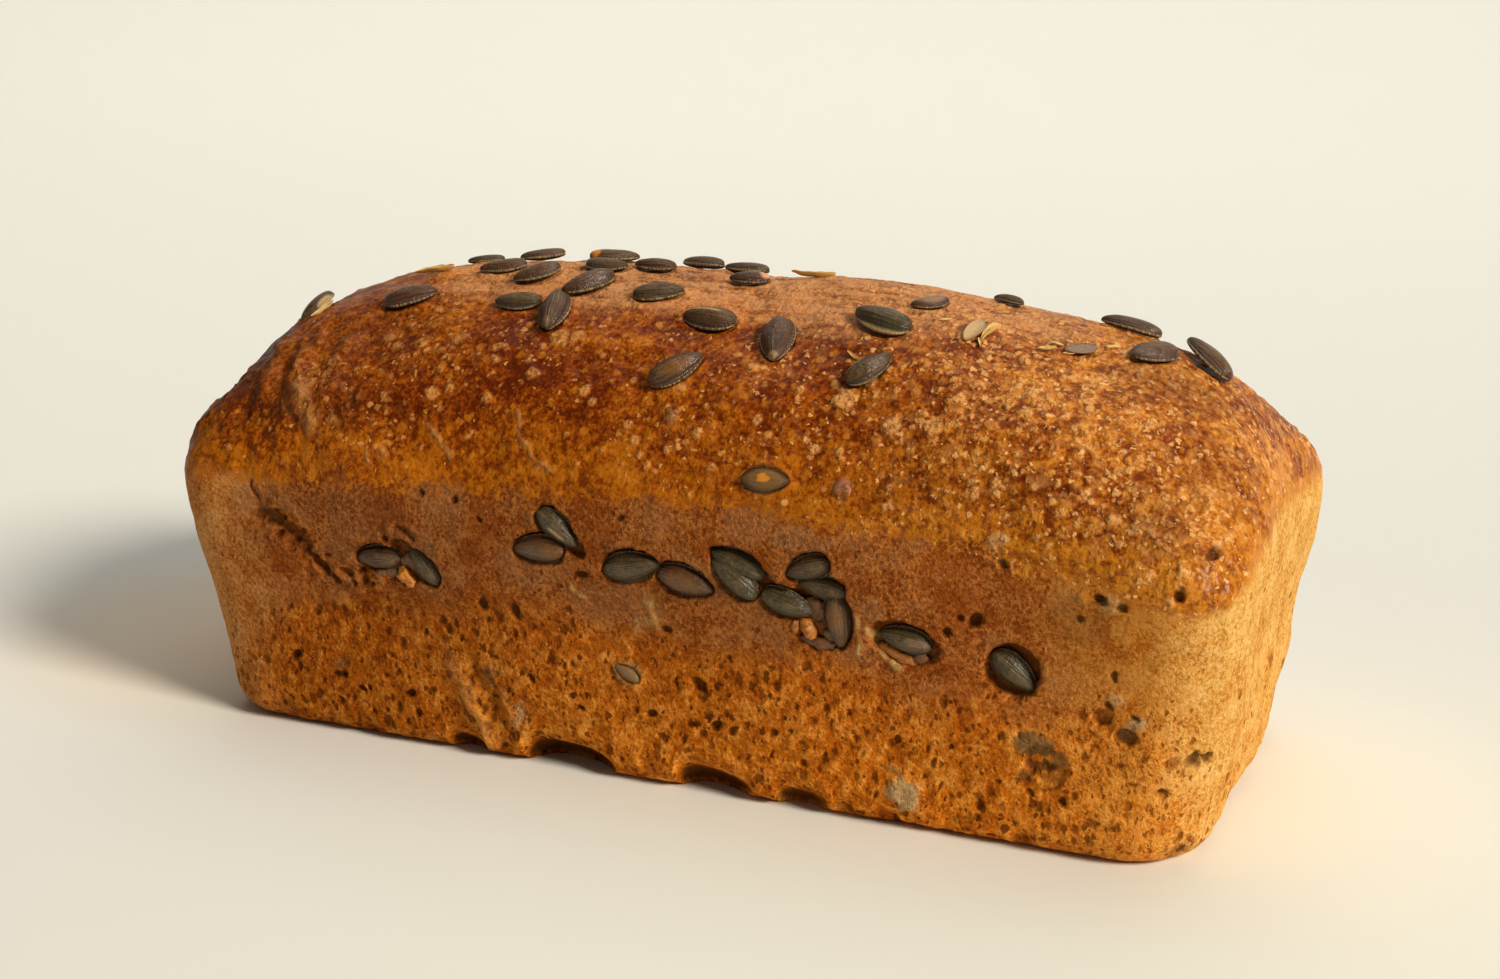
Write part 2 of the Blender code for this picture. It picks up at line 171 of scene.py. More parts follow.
def loafGrid():
    # The smooth loaf as one grid. A column is a place on the rim, and its rows run from the base,
    # round the foot, up the side and over the dome to the crest line.
    form, grid = loafForm, crustGrid
    halfX, halfY = form["rimLength"] / 2, form["rimWidth"] / 2
    corners = np.cumsum([0.0, halfY, 2 * halfX, halfY, halfY, 2 * halfX, halfY])
    front = np.linspace(0.0, corners[3], grid["frontColumns"], endpoint=False)
    far = np.linspace(corners[3], corners[6], grid["frontColumns"] // 2, endpoint=False)
    along = np.concatenate([front, far])
    edgeX = np.interp(along, corners, [-1, -1, 1, 1, 1, -1, -1])[:, None]
    edgeY = np.interp(along, corners, [0, -1, -1, 0, 1, 1, 0])[:, None]

    ring = 1.0 - np.linspace(1.0, 0.0, grid["baseRows"], endpoint=False) ** 1.6 * (1.0 - grid["baseRing"])
    baseX, baseY, baseCorner = sideHalves(np.zeros(1))
    baseX, baseY, baseCorner = baseX * ring, baseY * ring, baseCorner * ring
    flatX, flatY = roundCorner(edgeX * baseX, edgeY * baseY, baseX, baseY, baseCorner)
    base = np.stack([flatX, flatY, np.zeros_like(flatX)], axis=-1)

    footLength = form["footRounding"] * np.pi / 2
    climb = np.linspace(0.0, footLength + form["rimHeight"] - form["footRounding"], grid["sideRows"])
    footTurn = np.clip(climb / form["footRounding"], 0.0, np.pi / 2)
    height = form["footRounding"] * (1 - np.cos(footTurn)) + np.clip(climb - footLength, 0.0, None)
    wallX, wallY, wallCorner = sideHalves(height)
    sideX, sideY = roundCorner(edgeX * wallX, edgeY * wallY, wallX, wallY, wallCorner)
    side = np.stack([sideX, sideY, np.broadcast_to(height, sideX.shape)], axis=-1)

    share = np.sin(np.linspace(np.pi / 2, 0.0, 4001))
    profile = (form["crestHeight"] - form["rimHeight"]) * rise(share, form["fullAcross"])
    length = np.concatenate([[0.0], np.cumsum(np.hypot(np.diff(share * halfY), np.diff(profile)))])
    ring = np.interp(np.linspace(0.0, length[-1], grid["domeRows"] + 1)[1:], length, share)
    ringX = form["spineHalf"] + (halfX - form["spineHalf"]) * ring
    ringY, ringCorner = halfY * ring, np.maximum(form["rimCorner"] * ring, 1e-6)
    domeX, domeY = roundCorner(edgeX * ringX, edgeY * ringY, ringX, ringY, ringCorner)
    dome = np.stack([domeX, domeY, domeHeight(domeX, domeY)], axis=-1)
    return np.concatenate([base, side, dome], axis=1)


def gridNormals(points):
    # Outward normals of a grid that closes on itself: the cross product of its two differences.
    across = np.roll(points, -1, axis=0) - np.roll(points, 1, axis=0)
    up = np.gradient(points, axis=1)
    normals = np.cross(across, up)
    # On the crest line both slopes meet, so it takes the mean of the rows beside it, by place along X.
    beside = normals[:, -2] / np.linalg.norm(normals[:, -2], axis=-1)[:, None]
    crest, middle = points[:, -1, 0], crustGrid["frontColumns"]
    order, back = np.argsort(crest[:middle]), np.argsort(crest[middle:]) + middle
    for axis in range(3):
        front = np.interp(crest, crest[order], beside[order, axis])
        far = np.interp(crest, crest[back], beside[back, axis])
        normals[:, -1, axis] = front + far
    return normals / np.linalg.norm(normals, axis=-1)[..., None]


def latticeShare(i, j, k, salt):
    # One number from 0 to 1 for each lattice point: its whole numbers multiplied, folded and mixed.
    mixed = i * np.uint32(73856093) ^ j * np.uint32(19349663) ^ k * np.uint32(83492791)
    mixed ^= np.uint32(salt * 40503)
    for factor in (0x7FEB352D, 0x846CA68B):
        mixed ^= mixed >> np.uint32(15)
        mixed *= np.uint32(factor)
    return (mixed ^ mixed >> np.uint32(16)).astype(np.float32) / np.float32(2**32)


def waves(points, size, salt):
    # Value noise from -1 to 1: seeded heights on a lattice, joined by smooth steps.
    scaled = points / np.asarray(size, float) + 1000.0
    whole = np.floor(scaled)
    part = scaled - whole
    part = part * part * (3.0 - 2.0 * part)
    height = np.zeros(len(points))
    for corner in range(8):
        step = np.array([corner & 1, corner >> 1 & 1, corner >> 2])
        weight = np.where(step, part, 1.0 - part).prod(axis=1)
        height += weight * latticeShare(*(whole + step).astype(np.uint32).T, salt)
    return 2.0 * height - 1.0


def layered(points, size, octaves, salt):
    # Value noise of halving size and halving height, added up.
    height = np.zeros(len(points))
    for octave in range(octaves):
        height += 0.5**octave * waves(points, np.asarray(size, float) / 2**octave, salt + octave)
    return height


def cells(points, size, salt):
    # Cellular noise: one seeded point in each cell of a lattice. Gives the distance to the nearest,
    # as a share of the cell, and that point's own two numbers from 0 to 1.
    scaled = points / np.asarray(size, float) + 1000.0
    whole = np.floor(scaled)
    nearest, share = np.full(len(points), 9.0, np.float32), np.zeros(len(points), np.float32)
    for step in np.ndindex(3, 3, 3):
        cell = whole + (np.array(step) - 1)
        index = cell.astype(np.uint32).T
        apart = (cell[:, axis] + latticeShare(*index, salt + axis) - scaled[:, axis] for axis in range(3))
        gap = sum(part**2 for part in apart)
        closer = gap < nearest
        nearest = np.where(closer, gap, nearest)
        share = np.where(closer, latticeShare(*index, salt + 3), share)
    return np.sqrt(nearest), share, share * 7.31 % 1.0


def cellBumps(points, size, salt, density, radius):
    # Round bumps in a share of the cells: 1 at a bump's middle and 0 at its edge.
    gap, first, second = cells(points, size, salt)
    reach = radius[0] + (radius[1] - radius[0]) * second
    return np.clip(1.0 - (gap / reach) ** 2, 0.0, 1.0) * (first < density)


def lineGap(points, route):
    # Distance from each point to a line through the route's points.
    nearest = np.full(len(points), 1e9)
    for start, end in zip(route[:-1], route[1:]):
        start, along = np.array(start, float), np.subtract(end, start, dtype=float)
        share = np.clip((points - start) @ along / (along @ along), 0.0, 1.0)
        nearest = np.minimum(nearest, np.linalg.norm(points - start - share[:, None] * along, axis=1))
    return nearest


def crustFrame(first, second, onFront):
    # Place, outward normal and level direction of the crust at (x, y) on the dome or (x, z) in front.
    form = loafForm

    def point(first, second):
        if onFront and second < form["rimHeight"]:
            return np.array([first, -float(sideHalves(np.float64(second))[1]), second])
        if onFront:
            y = np.linspace(-form["rimWidth"] / 2, 0.0, 800)
            return np.array([first, np.interp(second, domeHeight(np.full_like(y, first), y), y), second])
        return np.array([first, second, float(domeHeight(np.float64(first), np.float64(second)))])

    across = point(first + 1.0, second) - point(first - 1.0, second)
    up = point(first, second + 1.0) - point(first, second - 1.0)
    normal = np.cross(across, up)
    normal /= np.linalg.norm(normal)
    place = point(first, second)
    level = np.array([1.0, 0.0, 0.0]) - normal * normal[0]
    return place + normal * softRelief(place), normal, level / np.linalg.norm(level)


def laid(axes, heading, points):
    # Turns points of a flat frame to lie on the crust, their length along the heading.
    place, normal, level = axes
    turn = np.radians(heading)
    along = level * np.cos(turn) + np.cross(normal, level) * np.sin(turn)
    return place + points @ np.stack([along, np.cross(normal, along), normal])


def flattened(axes, heading, points):
    # The way back: how far along, across and above a place each point lies.
    place, normal, level = axes
    turn = np.radians(heading)
    along = level * np.cos(turn) + np.cross(normal, level) * np.sin(turn)
    return (points - place) @ np.stack([along, np.cross(normal, along), normal]).T


def gridQuads(index):
    # The quads between neighbours in a grid of point numbers.
    corners = (index[:-1, :-1], index[1:, :-1], index[1:, 1:], index[:-1, 1:])
    return np.stack(corners, axis=-1).reshape(-1, 4)


def ringQuads(shape):
    # The quads of a grid of points, numbered row by row, whose rows close on themselves.
    index = np.arange(shape[0] * shape[1]).reshape(shape)
    after = np.roll(index, -1, axis=1)
    return np.stack([index[:-1], after[:-1], after[1:], index[1:]], axis=-1).reshape(-1, 4)


seedForm = {   # shares of the seed's length, but for the powers
    "width": 0.57, "tipPower": 0.68, "endPower": 0.5,   # outline: share^tipPower * (1 - share)^endPower
    "thickness": (0.150, 0.180), "under": 0.45,          # rise over the edge, and the part of it below
    "crownReach": 0.94, "crownPower": 0.95, "rimPlace": 0.955, "rimWidth": 0.035, "rimHeight": 0.16,
    "rowsAlong": 30, "rowsRound": 48,
}

# On the dome: x, y, heading from tip to blunt end in degrees, length, height of the edge over the
# crust, tilt in degrees, tint.
topSeeds = (
    (-117, -14, 70, 13, 0.9, 10, 0.35), (-84.5, -20, 199, 14.5, 0.9, 0, 0.75),
    (-78, 8, 20, 10, 0.8, 0, 0.3), (-65, -6, 20, 12.5, 0.9, 0, 0.6), (-61, 8, 30, 12, 1.5, 6, 0.45),
    (-53, -10, 36, 12.5, 1.2, 4, 0.5), (-52.5, -22, 6, 12.5, 0.8, 0, 0.2),
    (-40, -26, 102, 14.5, 1.1, 0, 0.9), (-36.5, -14, 48, 14.5, 1.0, 0, 0.8),
    (-37.5, 3, 200, 13, 1.2, 0, 0.5), (-36, -4, 178, 12, 0.8, 0, 0.4),
    (-23.5, -2, 0, 11.5, 1.0, 0, 0.65), (-16, -16, 198, 13, 0.8, 0, 0.3),
    (-16, 10.5, -5, 12, 1.3, 0, 0.4), (-2.5, 7.5, 2, 12, 1.1, 0, 0.35),
    (3.5, -4.5, 9, 10.5, 0.9, 0, 0.7), (0.5, -23, -8, 15, 1.0, 3, 0.5),
    (20.5, -28, 104, 15, 1.2, 0, 0.85), (-1, -38.5, 222, 14.5, 1.1, 0, 0.75),
    (44, -19.5, -18, 16, 1.1, 0, 0.1), (46, -33.5, 232, 13, 1.0, 0, 0.4),
    (52, -9, 35, 9.5, 0.7, 0, 0.55), (66.5, -18, 74, 10, 0.8, 0, 0.5), (67.5, 4, -9, 8, 0.9, 0, 0.4),
    (91, -13.5, 37, 11.5, 0.7, 0, 0.45), (96.5, 8.5, 6, 15, 1.2, 3, 0.5),
    (105.5, -6, 58, 14.5, 1.0, 0, 0.8), (115.5, 4, -20, 15, 2.0, -8, 0.5),
)
brokenSeed = 22      # only pale flesh is left of it
filmSeed = 24        # only a flaky skin is left of it
farSeedRule = {"seed": 23, "count": 9, "x": (-104.0, 108.0), "y": (31.0, 44.0), "apart": 15.0,
               "length": (12.0, 14.5), "edge": 1.0}

# In the front side: x, z, heading in degrees, length, depth of the edge under the crust, tint.
frontSeeds = (
    (-75.5, 51.5, 5, 13, 1.9, 0.75), (-62, 51, -50, 12, 2.0, 0.3), (-24, 66, 142, 13, 1.6, 0.15),
    (-29.5, 60, 5, 14.5, 1.5, 0.62), (-5, 58.5, 194, 15.5, 1.4, 0.15), (9, 56.5, 168, 15, 1.5, 0.7),
    (22, 62.5, -19, 14.5, 2.3, 0.12), (21.5, 59, -37, 14, 1.3, 0.1), (34.5, 54.5, 164, 13.5, 1.4, 0.1),
    (40, 64, 23, 12.5, 2.0, 0.3), (43.5, 59.5, -5, 12, 2.3, 0.25), (47, 51.5, 95, 14.5, 2.0, 0.6),
    (63, 49, -10, 13, 1.8, 0.15), (88.5, 44.5, 141, 13, 2.2, 0.15), (28, 83, 182, 12, 0.1, 0.5),
    (-8, 30, -29, 7.5, 0.2, 0.45),
)

# Marks on single seeds: seed, share of its length from the tip, place across, reach of both, colour,
# strength.
topSeedMarks = (
    (9, 0.88, 0.3, 0.12, 0.6, "orange", 0.95), (15, 0.92, 0.2, 0.17, 0.9, "pink", 0.95),
    (16, 0.40, 0.15, 0.36, 0.09, "yellow", 0.9), (21, 0.55, 0.1, 0.42, 0.8, "film", 0.75),
    (0, 0.62, -0.9, 0.22, 0.3, "cream", 0.6), (19, 0.60, -0.95, 0.45, 0.12, "cream", 0.5),
    (20, 0.70, -0.9, 0.30, 0.14, "cream", 0.5), (17, 0.05, 0.3, 0.08, 0.9, "cream", 0.5),
    (7, 0.10, 0.3, 0.12, 0.6, "cream", 0.30), (18, 0.45, 0.2, 0.30, 0.5, "chestnut", 0.6),
)
frontSeedMarks = (
    (2, 0.45, 0.2, 0.22, 0.13, "cream", 0.6), (11, 0.62, 0.1, 0.26, 0.5, "chestnut", 0.75),
    (14, 0.46, 0.0, 0.42, 0.8, "goldSkin", 0.8), (14, 0.52, -0.10, 0.16, 0.40, "orange", 0.9),
    (15, 0.50, 0.0, 0.60, 1.2, "tan", 0.85), (3, 0.80, -0.1, 0.25, 0.6, "chestnut", 0.6),
    (12, 0.75, 0.2, 0.25, 0.3, "film", 0.4), (5, 0.55, 0.0, 0.35, 0.6, "chestnut", 0.4),
)


def farSeeds():
    # Seeds on the far slope, at seeded places that keep apart from every seed before them.
    rule = farSeedRule
    rng = np.random.default_rng(rule["seed"])
    rows, taken = [], [row[:2] for row in topSeeds]
    while len(rows) < rule["count"]:
        x, y = rng.uniform(*rule["x"]), rng.uniform(*rule["y"])
        heading, length = rng.uniform(0.0, 360.0), rng.uniform(*rule["length"])
        if min(np.hypot(x - other[0], y - other[1]) for other in taken) < rule["apart"]:
            continue
        taken.append((x, y))
        rows.append((x, y, heading, length, rule["edge"], 0, (0.2 + 0.37 * len(rows)) % 1.0))
    return tuple(rows)


def seedHalfWidth(share, length):
    # Half width at a share of the length from the tip: share^p * (1 - share)^q, scaled to the widest.
    form = seedForm
    p, q = form["tipPower"], form["endPower"]
    peak = (p / (p + q)) ** p * (q / (p + q)) ** q
    share = np.clip(share, 0.0, 1.0)
    return share**p * (1.0 - share) ** q / peak * form["width"] * length / 2


def seedGap(local, length):
    # About how far a point of the flat frame lies outside a seed's outline, below 0 inside it.
    share = local[:, 0] / length + 0.5
    half = seedHalfWidth(share, length)
    slope = (seedHalfWidth(share + 0.02, length) - seedHalfWidth(share - 0.02, length)) / (0.04 * length)
    beyond = np.abs(local[:, 0]) - length / 2
    beside = (np.abs(local[:, 1]) - half) / np.sqrt(1.0 + np.clip(np.abs(slope), 0.0, 2.0) ** 2)
    return np.where(beyond > 0, np.hypot(beyond, local[:, 1]), beside)


def seedSurface(length, width, thickness, under, bend=0.0, curl=0.0):
    # A pillow between two poles. For a share s of the length and a turn t it is w(s) cos t wide, and
    # (1 - |cos t / reach|^2.2)^power high, less deep below, with a low rim by its edge. A bend lifts
    # both ends, and a curl lifts both edges.
    form = seedForm
    share = (1.0 - np.cos(np.linspace(0.0, np.pi, form["rowsAlong"] + 1))) / 2
    turn = np.linspace(0.0, 2 * np.pi, form["rowsRound"], endpoint=False)
    share, turn = np.meshgrid(share, turn, indexing="ij")
    half = seedHalfWidth(share, length)
    across, up = np.cos(turn), np.sin(turn)
    full = (half / half.max()) ** 0.6
    rim = bell(np.abs(across) - form["rimPlace"], form["rimWidth"]) * (up > 0)
    crown = np.clip(1.0 - np.abs(across / form["crownReach"]) ** 2.2, 0.0, 1.0) ** form["crownPower"]
    height = thickness * length * full
    top = crown + form["rimHeight"] * (rim + 0.3 * up)
    z = height * np.where(up > 0, top, -under * np.abs(up) ** 0.8)
    z = z + bend * length * ((2 * share - 1) ** 2 - 0.3) + curl * length * (across**2 - 0.3) * full
    points = np.stack([(share - 0.5) * length, half * across * width / form["width"], z], axis=-1)
    quads = ringQuads(share.shape)[:, ::-1]
    fields = {"along": share.ravel(), "across": across.ravel(), "upside": (up * 0.5 + 0.5).ravel()}
    return points.reshape(-1, 3), quads, fields


crustMarks = {
    # Heights of the border between the glossy dome and the matt side: by x along both long sides,
    # and by y at the ends.
    "lineAlong": ((-138, 68.0), (-111, 69.6), (-59, 72.8), (0, 75.3), (28, 76.5), (62, 75.2), (86, 72.3),
                  (109, 68.5), (120, 65.0), (128, 63.5)),
    "lineAtEnds": ((-58, 63.5), (-41, 73.8), (3, 75.3), (44, 71.7), (58, 68.0)),
    "lineRagged": 1.5,
    # Under this height the side is porous, by x.
    "porousTop": ((-138, 17), (-121, 21), (-113, 27), (-100, 36), (-78, 41), (-50, 45), (-20, 44), (15, 42),
                  (45, 39), (70, 35), (105, 37), (125, 42), (138, 40)),
}

# Heights and sizes of the fine relief.
crustRelief = {
    "peel": 0.42, "peelSize": 7.5, "domeGrain": 0.07, "wrinkles": 0.20,
    "large": 0.42, "largeSize": 4.4, "middling": 0.34, "middlingSize": 2.8, "blob": 0.4,   # blisters
    "folds": 1.1, "foldedPlace": (-112.0, -44.0, 90.0), "foldedReach": 24.0,
    "rough": 0.34, "sideGrain": 0.04, "sponge": 0.15, "pores": 0.62, "torn": 1.3, "endCreases": 0.4,
    "pocketMargin": 0.30, "pocketLift": 0.55, "pocketWall": 0.8,   # gap round a seed, gap over it, wall
    "hollowFade": 24.0,                      # hollows under the front edge lift the side up to here
    "holeSeed": 12,
}

# Torn crust along the crack: place, reach.
tornPlaces = (
    ((-105.0, -58.0, 58.5), 5.0), ((-100.0, -58.0, 56.0), 5.0), ((-93.0, -57.0, 48.0), 4.5),
    ((-86.0, -56.5, 46.0), 5.0), ((-80.0, -56.0, 45.5), 5.0), ((-71.0, -57.0, 59.0), 4.0),
)

# Hollows under the front edge: x, half length on the left and on the right, height, reach inwards.
edgeHollows = (
    (-84, 3.5, 3.5, 2.6, 5), (-57, 3.5, 8.0, 4.6, 8), (-44, 2.0, 2.8, 2.4, 5),
    (-31, 8.0, 18.0, 7.0, 12), (-4, 2.2, 2.2, 2.2, 4), (9, 6.0, 15.0, 6.6, 10), (34, 5.0, 9.5, 5.0, 8),
    (47, 3.0, 3.0, 2.6, 5), (58, 3.5, 3.5, 2.8, 5), (74, 3.0, 3.0, 2.2, 4), (91, 4.0, 4.0, 2.8, 5),
)

# Open pockets in the front side: x, z, half length, half height, tilt in degrees, depth.
pockets = (
    (-105, 59.2, 3.4, 2.0, -35, 2.0), (-100, 56.8, 3.4, 1.7, -20, 1.7), (-92.5, 48, 3.2, 1.5, -50, 1.9),
    (-85, 46.5, 2.0, 1.2, -20, 1.2), (-68, 50.5, 8.0, 4.6, -8, 2.2), (-67.5, 55.5, 3.6, 2.6, -20, 2.6),
    (-19.5, 61.5, 3.0, 2.4, -40, 2.4), (2.0, 59.3, 2.6, 1.6, -10, 1.6), (63, 48.5, 8.8, 5.4, -14, 2.4),
    (88.5, 45.2, 6.9, 6.8, 0, 3.4), (42.5, 57, 6.5, 7.5, 10, 3.0), (97, 24, 6.0, 5.0, -20, 0.9),
    (109.6, 37.5, 2.6, 2.0, 20, 1.5), (115, 33.5, 2.8, 2.2, 0, 1.4), (42, 48.0, 6.2, 4.2, -15, 1.7),
    (29, 59.5, 3.6, 2.6, -40, 2.6),
)

# Small holes in the front side: x, z, radius, depth.
pinHoles = (
    (79.7, 56.4, 1.9, 1.7), (76.5, 56.8, 1.0, 0.9), (73.4, 53, 1.2, 1.1), (126, 69.5, 1.7, 1.8),
    (109, 66.3, 1.5, 1.2), (113.5, 65, 1.3, 1.0), (131, 77.5, 1.4, 1.2), (129.6, 28.8, 1.7, 1.4),
    (132, 28, 1.2, 1.0), (123, 20, 1.4, 1.3), (111, 40.3, 1.1, 1.1), (117, 38.5, 0.9, 0.8),
    (-18.4, 54.6, 1.3, 1.1), (-34, 25, 1.0, 1.0), (-52, 70, 0.9, 0.9), (-45, 66, 0.8, 0.8),
    (-61, 71, 0.8, 0.8), (-6.8, 70.9, 0.9, 0.8), (-90, 17, 1.5, 1.3), (-70, 15, 1.3, 1.2),
    (-68, 10, 1.0, 0.9), (-103, 21, 1.4, 1.1), (-84, 13, 1.0, 1.1), (-37, 43, 1.6, 1.2),
    (-46, 44, 1.4, 1.2), (11, 30, 1.8, 1.4), (-2, 20, 1.2, 1.1), (3, 43, 1.3, 0.8), (104, 61, 1.1, 0.8),
    (86, 71, 1.3, 0.7), (-21, 17, 1.1, 1.2), (112, 48, 1.0, 0.8), (101, 15, 1.3, 1.0),
    (15, 18, 1.9, 1.3), (98, 23, 1.1, 1.1), (94, 21, 0.9, 0.9), (-106, 57.5, 1.2, 1.2),
    (-103.5, 54.8, 1.1, 1.1), (-101.5, 59.2, 1.2, 1.1), (-98.5, 53.5, 1.0, 1.0), (-104, 60.8, 0.9, 0.9),
    (-96.5, 56.0, 1.1, 1.0), (-90, 50.5, 0.9, 0.8), (-88.5, 44.5, 1.1, 1.0), (-83, 44, 1.0, 1.0),
    (-80.5, 47.5, 0.9, 0.9), (-77.5, 44.5, 0.9, 0.9), (-72, 57.5, 0.9, 0.8),
)

# Where the dome's blobs crowd together or (below 0) are missing: place, reach, how much.
blobCrowds = (
    ((-40, -33, 106), 9, 0.75), ((-26, -33, 107), 7, 0.6), ((-102, -44, 92), 7, 0.7),
    ((-95, -46, 94), 6, 0.4), ((-58, -40, 99), 8, 0.5), ((-78, -34, 103), 9, 0.4),
    ((28, -30, 107), 10, 0.3), ((96, -26, 101), 12, 0.4), ((90, -44, 88), 10, -0.3),
    ((123, -38, 86), 9, -0.3), ((-36, -48, 92), 12, -0.4),
)

# Single pale blobs on the dome's front: x, y, radius.
paleBlobs = (
    (-96, -43, 1.6), (-96, -40, 2.1), (-84, -34, 1.7), (-80, -36, 1.5), (-72, -36, 1.2),
    (-62, -35, 2.2), (-50, -37, 1.4), (-49, -40, 1.2), (-63, -47, 1.7), (-59, -46, 1.4),
    (-48, -47, 1.5), (-38, -42, 1.8), (-23, -44, 1.7), (-20, -46, 1.3), (-35, -33, 2.6),
    (-31, -32, 2.2), (-9, -49, 1.2), (-6, -51, 1.4), (2, -42, 1.4), (9, -49, 1.3), (18, -36, 1.6),
    (23, -46, 1.3), (26, -48, 1.1), (38, -49, 1.3), (44, -49, 1.2), (12, -33, 1.2), (47, -36, 1.7),
    (42, -40, 2.6), (55, -44, 2.6), (65, -43, 2.3), (14, -53, 1.2), (-15, -29, 1.1), (80, -29, 2.4),
    (98, -22, 2.8), (84, -32, 1.8), (69, -37, 1.8), (-88, -52, 1.3), (-106, -40, 1.4),
)

# Lines on the crust: route, width, height, how pale (or, below 0, how dark) it is. Every dark line
# runs down a furrow and is painted shade; the pale lines are pale cracks in the crust, and on the
# wide fold ridges partly painted highlight.
creases = (
    (((-107, -45, 96), (-102, -48, 92), (-98, -51, 88), (-94, -54, 83)), 2.0, 0.9, 0.35),
    (((-110, -46, 93), (-105, -50, 89.5), (-101, -54, 84)), 1.7, -0.9, -0.45),
    (((-90, -50, 92), (-88, -53, 88), (-86, -55.5, 84)), 1.5, -0.8, -0.4),
    (((-118, -45, 90), (-114, -50, 85), (-110, -53, 80)), 1.6, -0.7, -0.4),
    (((-78, -53.5, 87), (-76.8, -55, 83.4), (-77.5, -56, 81), (-76.4, -57.1, 77)), 0.7, 0.5, 0.40),
    (((-74, -56, 82), (-72.5, -57, 79)), 0.7, 0.3, 0.5),
    (((-62, -52, 86.5), (-60, -53.5, 84), (-57, -54, 82.5), (-54.5, -55, 79.5)), 0.7, 0.5, 0.42),
    (((-64, -55.5, 83), (-63.5, -56.5, 80)), 0.6, 0.3, 0.4),
    (((-39, -49, 91), (-37, -51.5, 87.5), (-35, -53.5, 84), (-31, -55, 81), (-28, -55.7, 79.6)),
     0.7, 0.5, 0.40),
    (((-110, -58.8, 68), (-109, -58.7, 63), (-107.7, -58.6, 59.5)), 0.8, -0.9, -0.7),
    (((-107.7, -58.6, 59.5), (-104, -58.4, 58), (-100.5, -58.1, 56.3), (-97.3, -57.7, 53.9)),
     2.4, -1.6, -0.40),
    (((-96, -57.2, 51.5), (-93.8, -56.8, 48.8), (-90.1, -55.9, 44.7)), 1.1, -1.4, -0.8),
    (((-56, -54.4, 25.5), (-54, -54, 19), (-51, -53, 11), (-48, -52, 5)), 2.6, 0.9, 0.25),
    (((-51, -54, 27), (-47, -54, 19), (-44, -53, 11)), 2.0, -0.9, -0.25),
    (((-42, -54, 20), (-40, -53.5, 12), (-38, -53, 8)), 1.8, 0.7, 0.2),
    (((-0.6, -56, 50.6), (0.4, -55.5, 47), (0.1, -55, 44)), 1.2, 0.4, 0.7),
    (((-21.7, -56.5, 51), (-19.5, -56.3, 49.5), (-18, -56, 47.5)), 0.7, 0.4, 0.6),
    (((52, -57, 53.5), (52.6, -56.5, 49.5), (52.4, -56, 45)), 1.1, 0.5, 0.85),
    (((55.4, -56.3, 51), (57.5, -55.6, 46.5), (61, -55, 42.6)), 0.9, 0.6, 0.9),
    (((-71, -58.5, 60.5), (-67.5, -58.8, 60.8), (-64.5, -58.8, 59.5)), 0.9, -1.0, -0.7),
    (((-75.5, -57, 50), (-76, -56.8, 47.8), (-74.5, -56.5, 45.5)), 1.0, 0.7, 0.45),
)

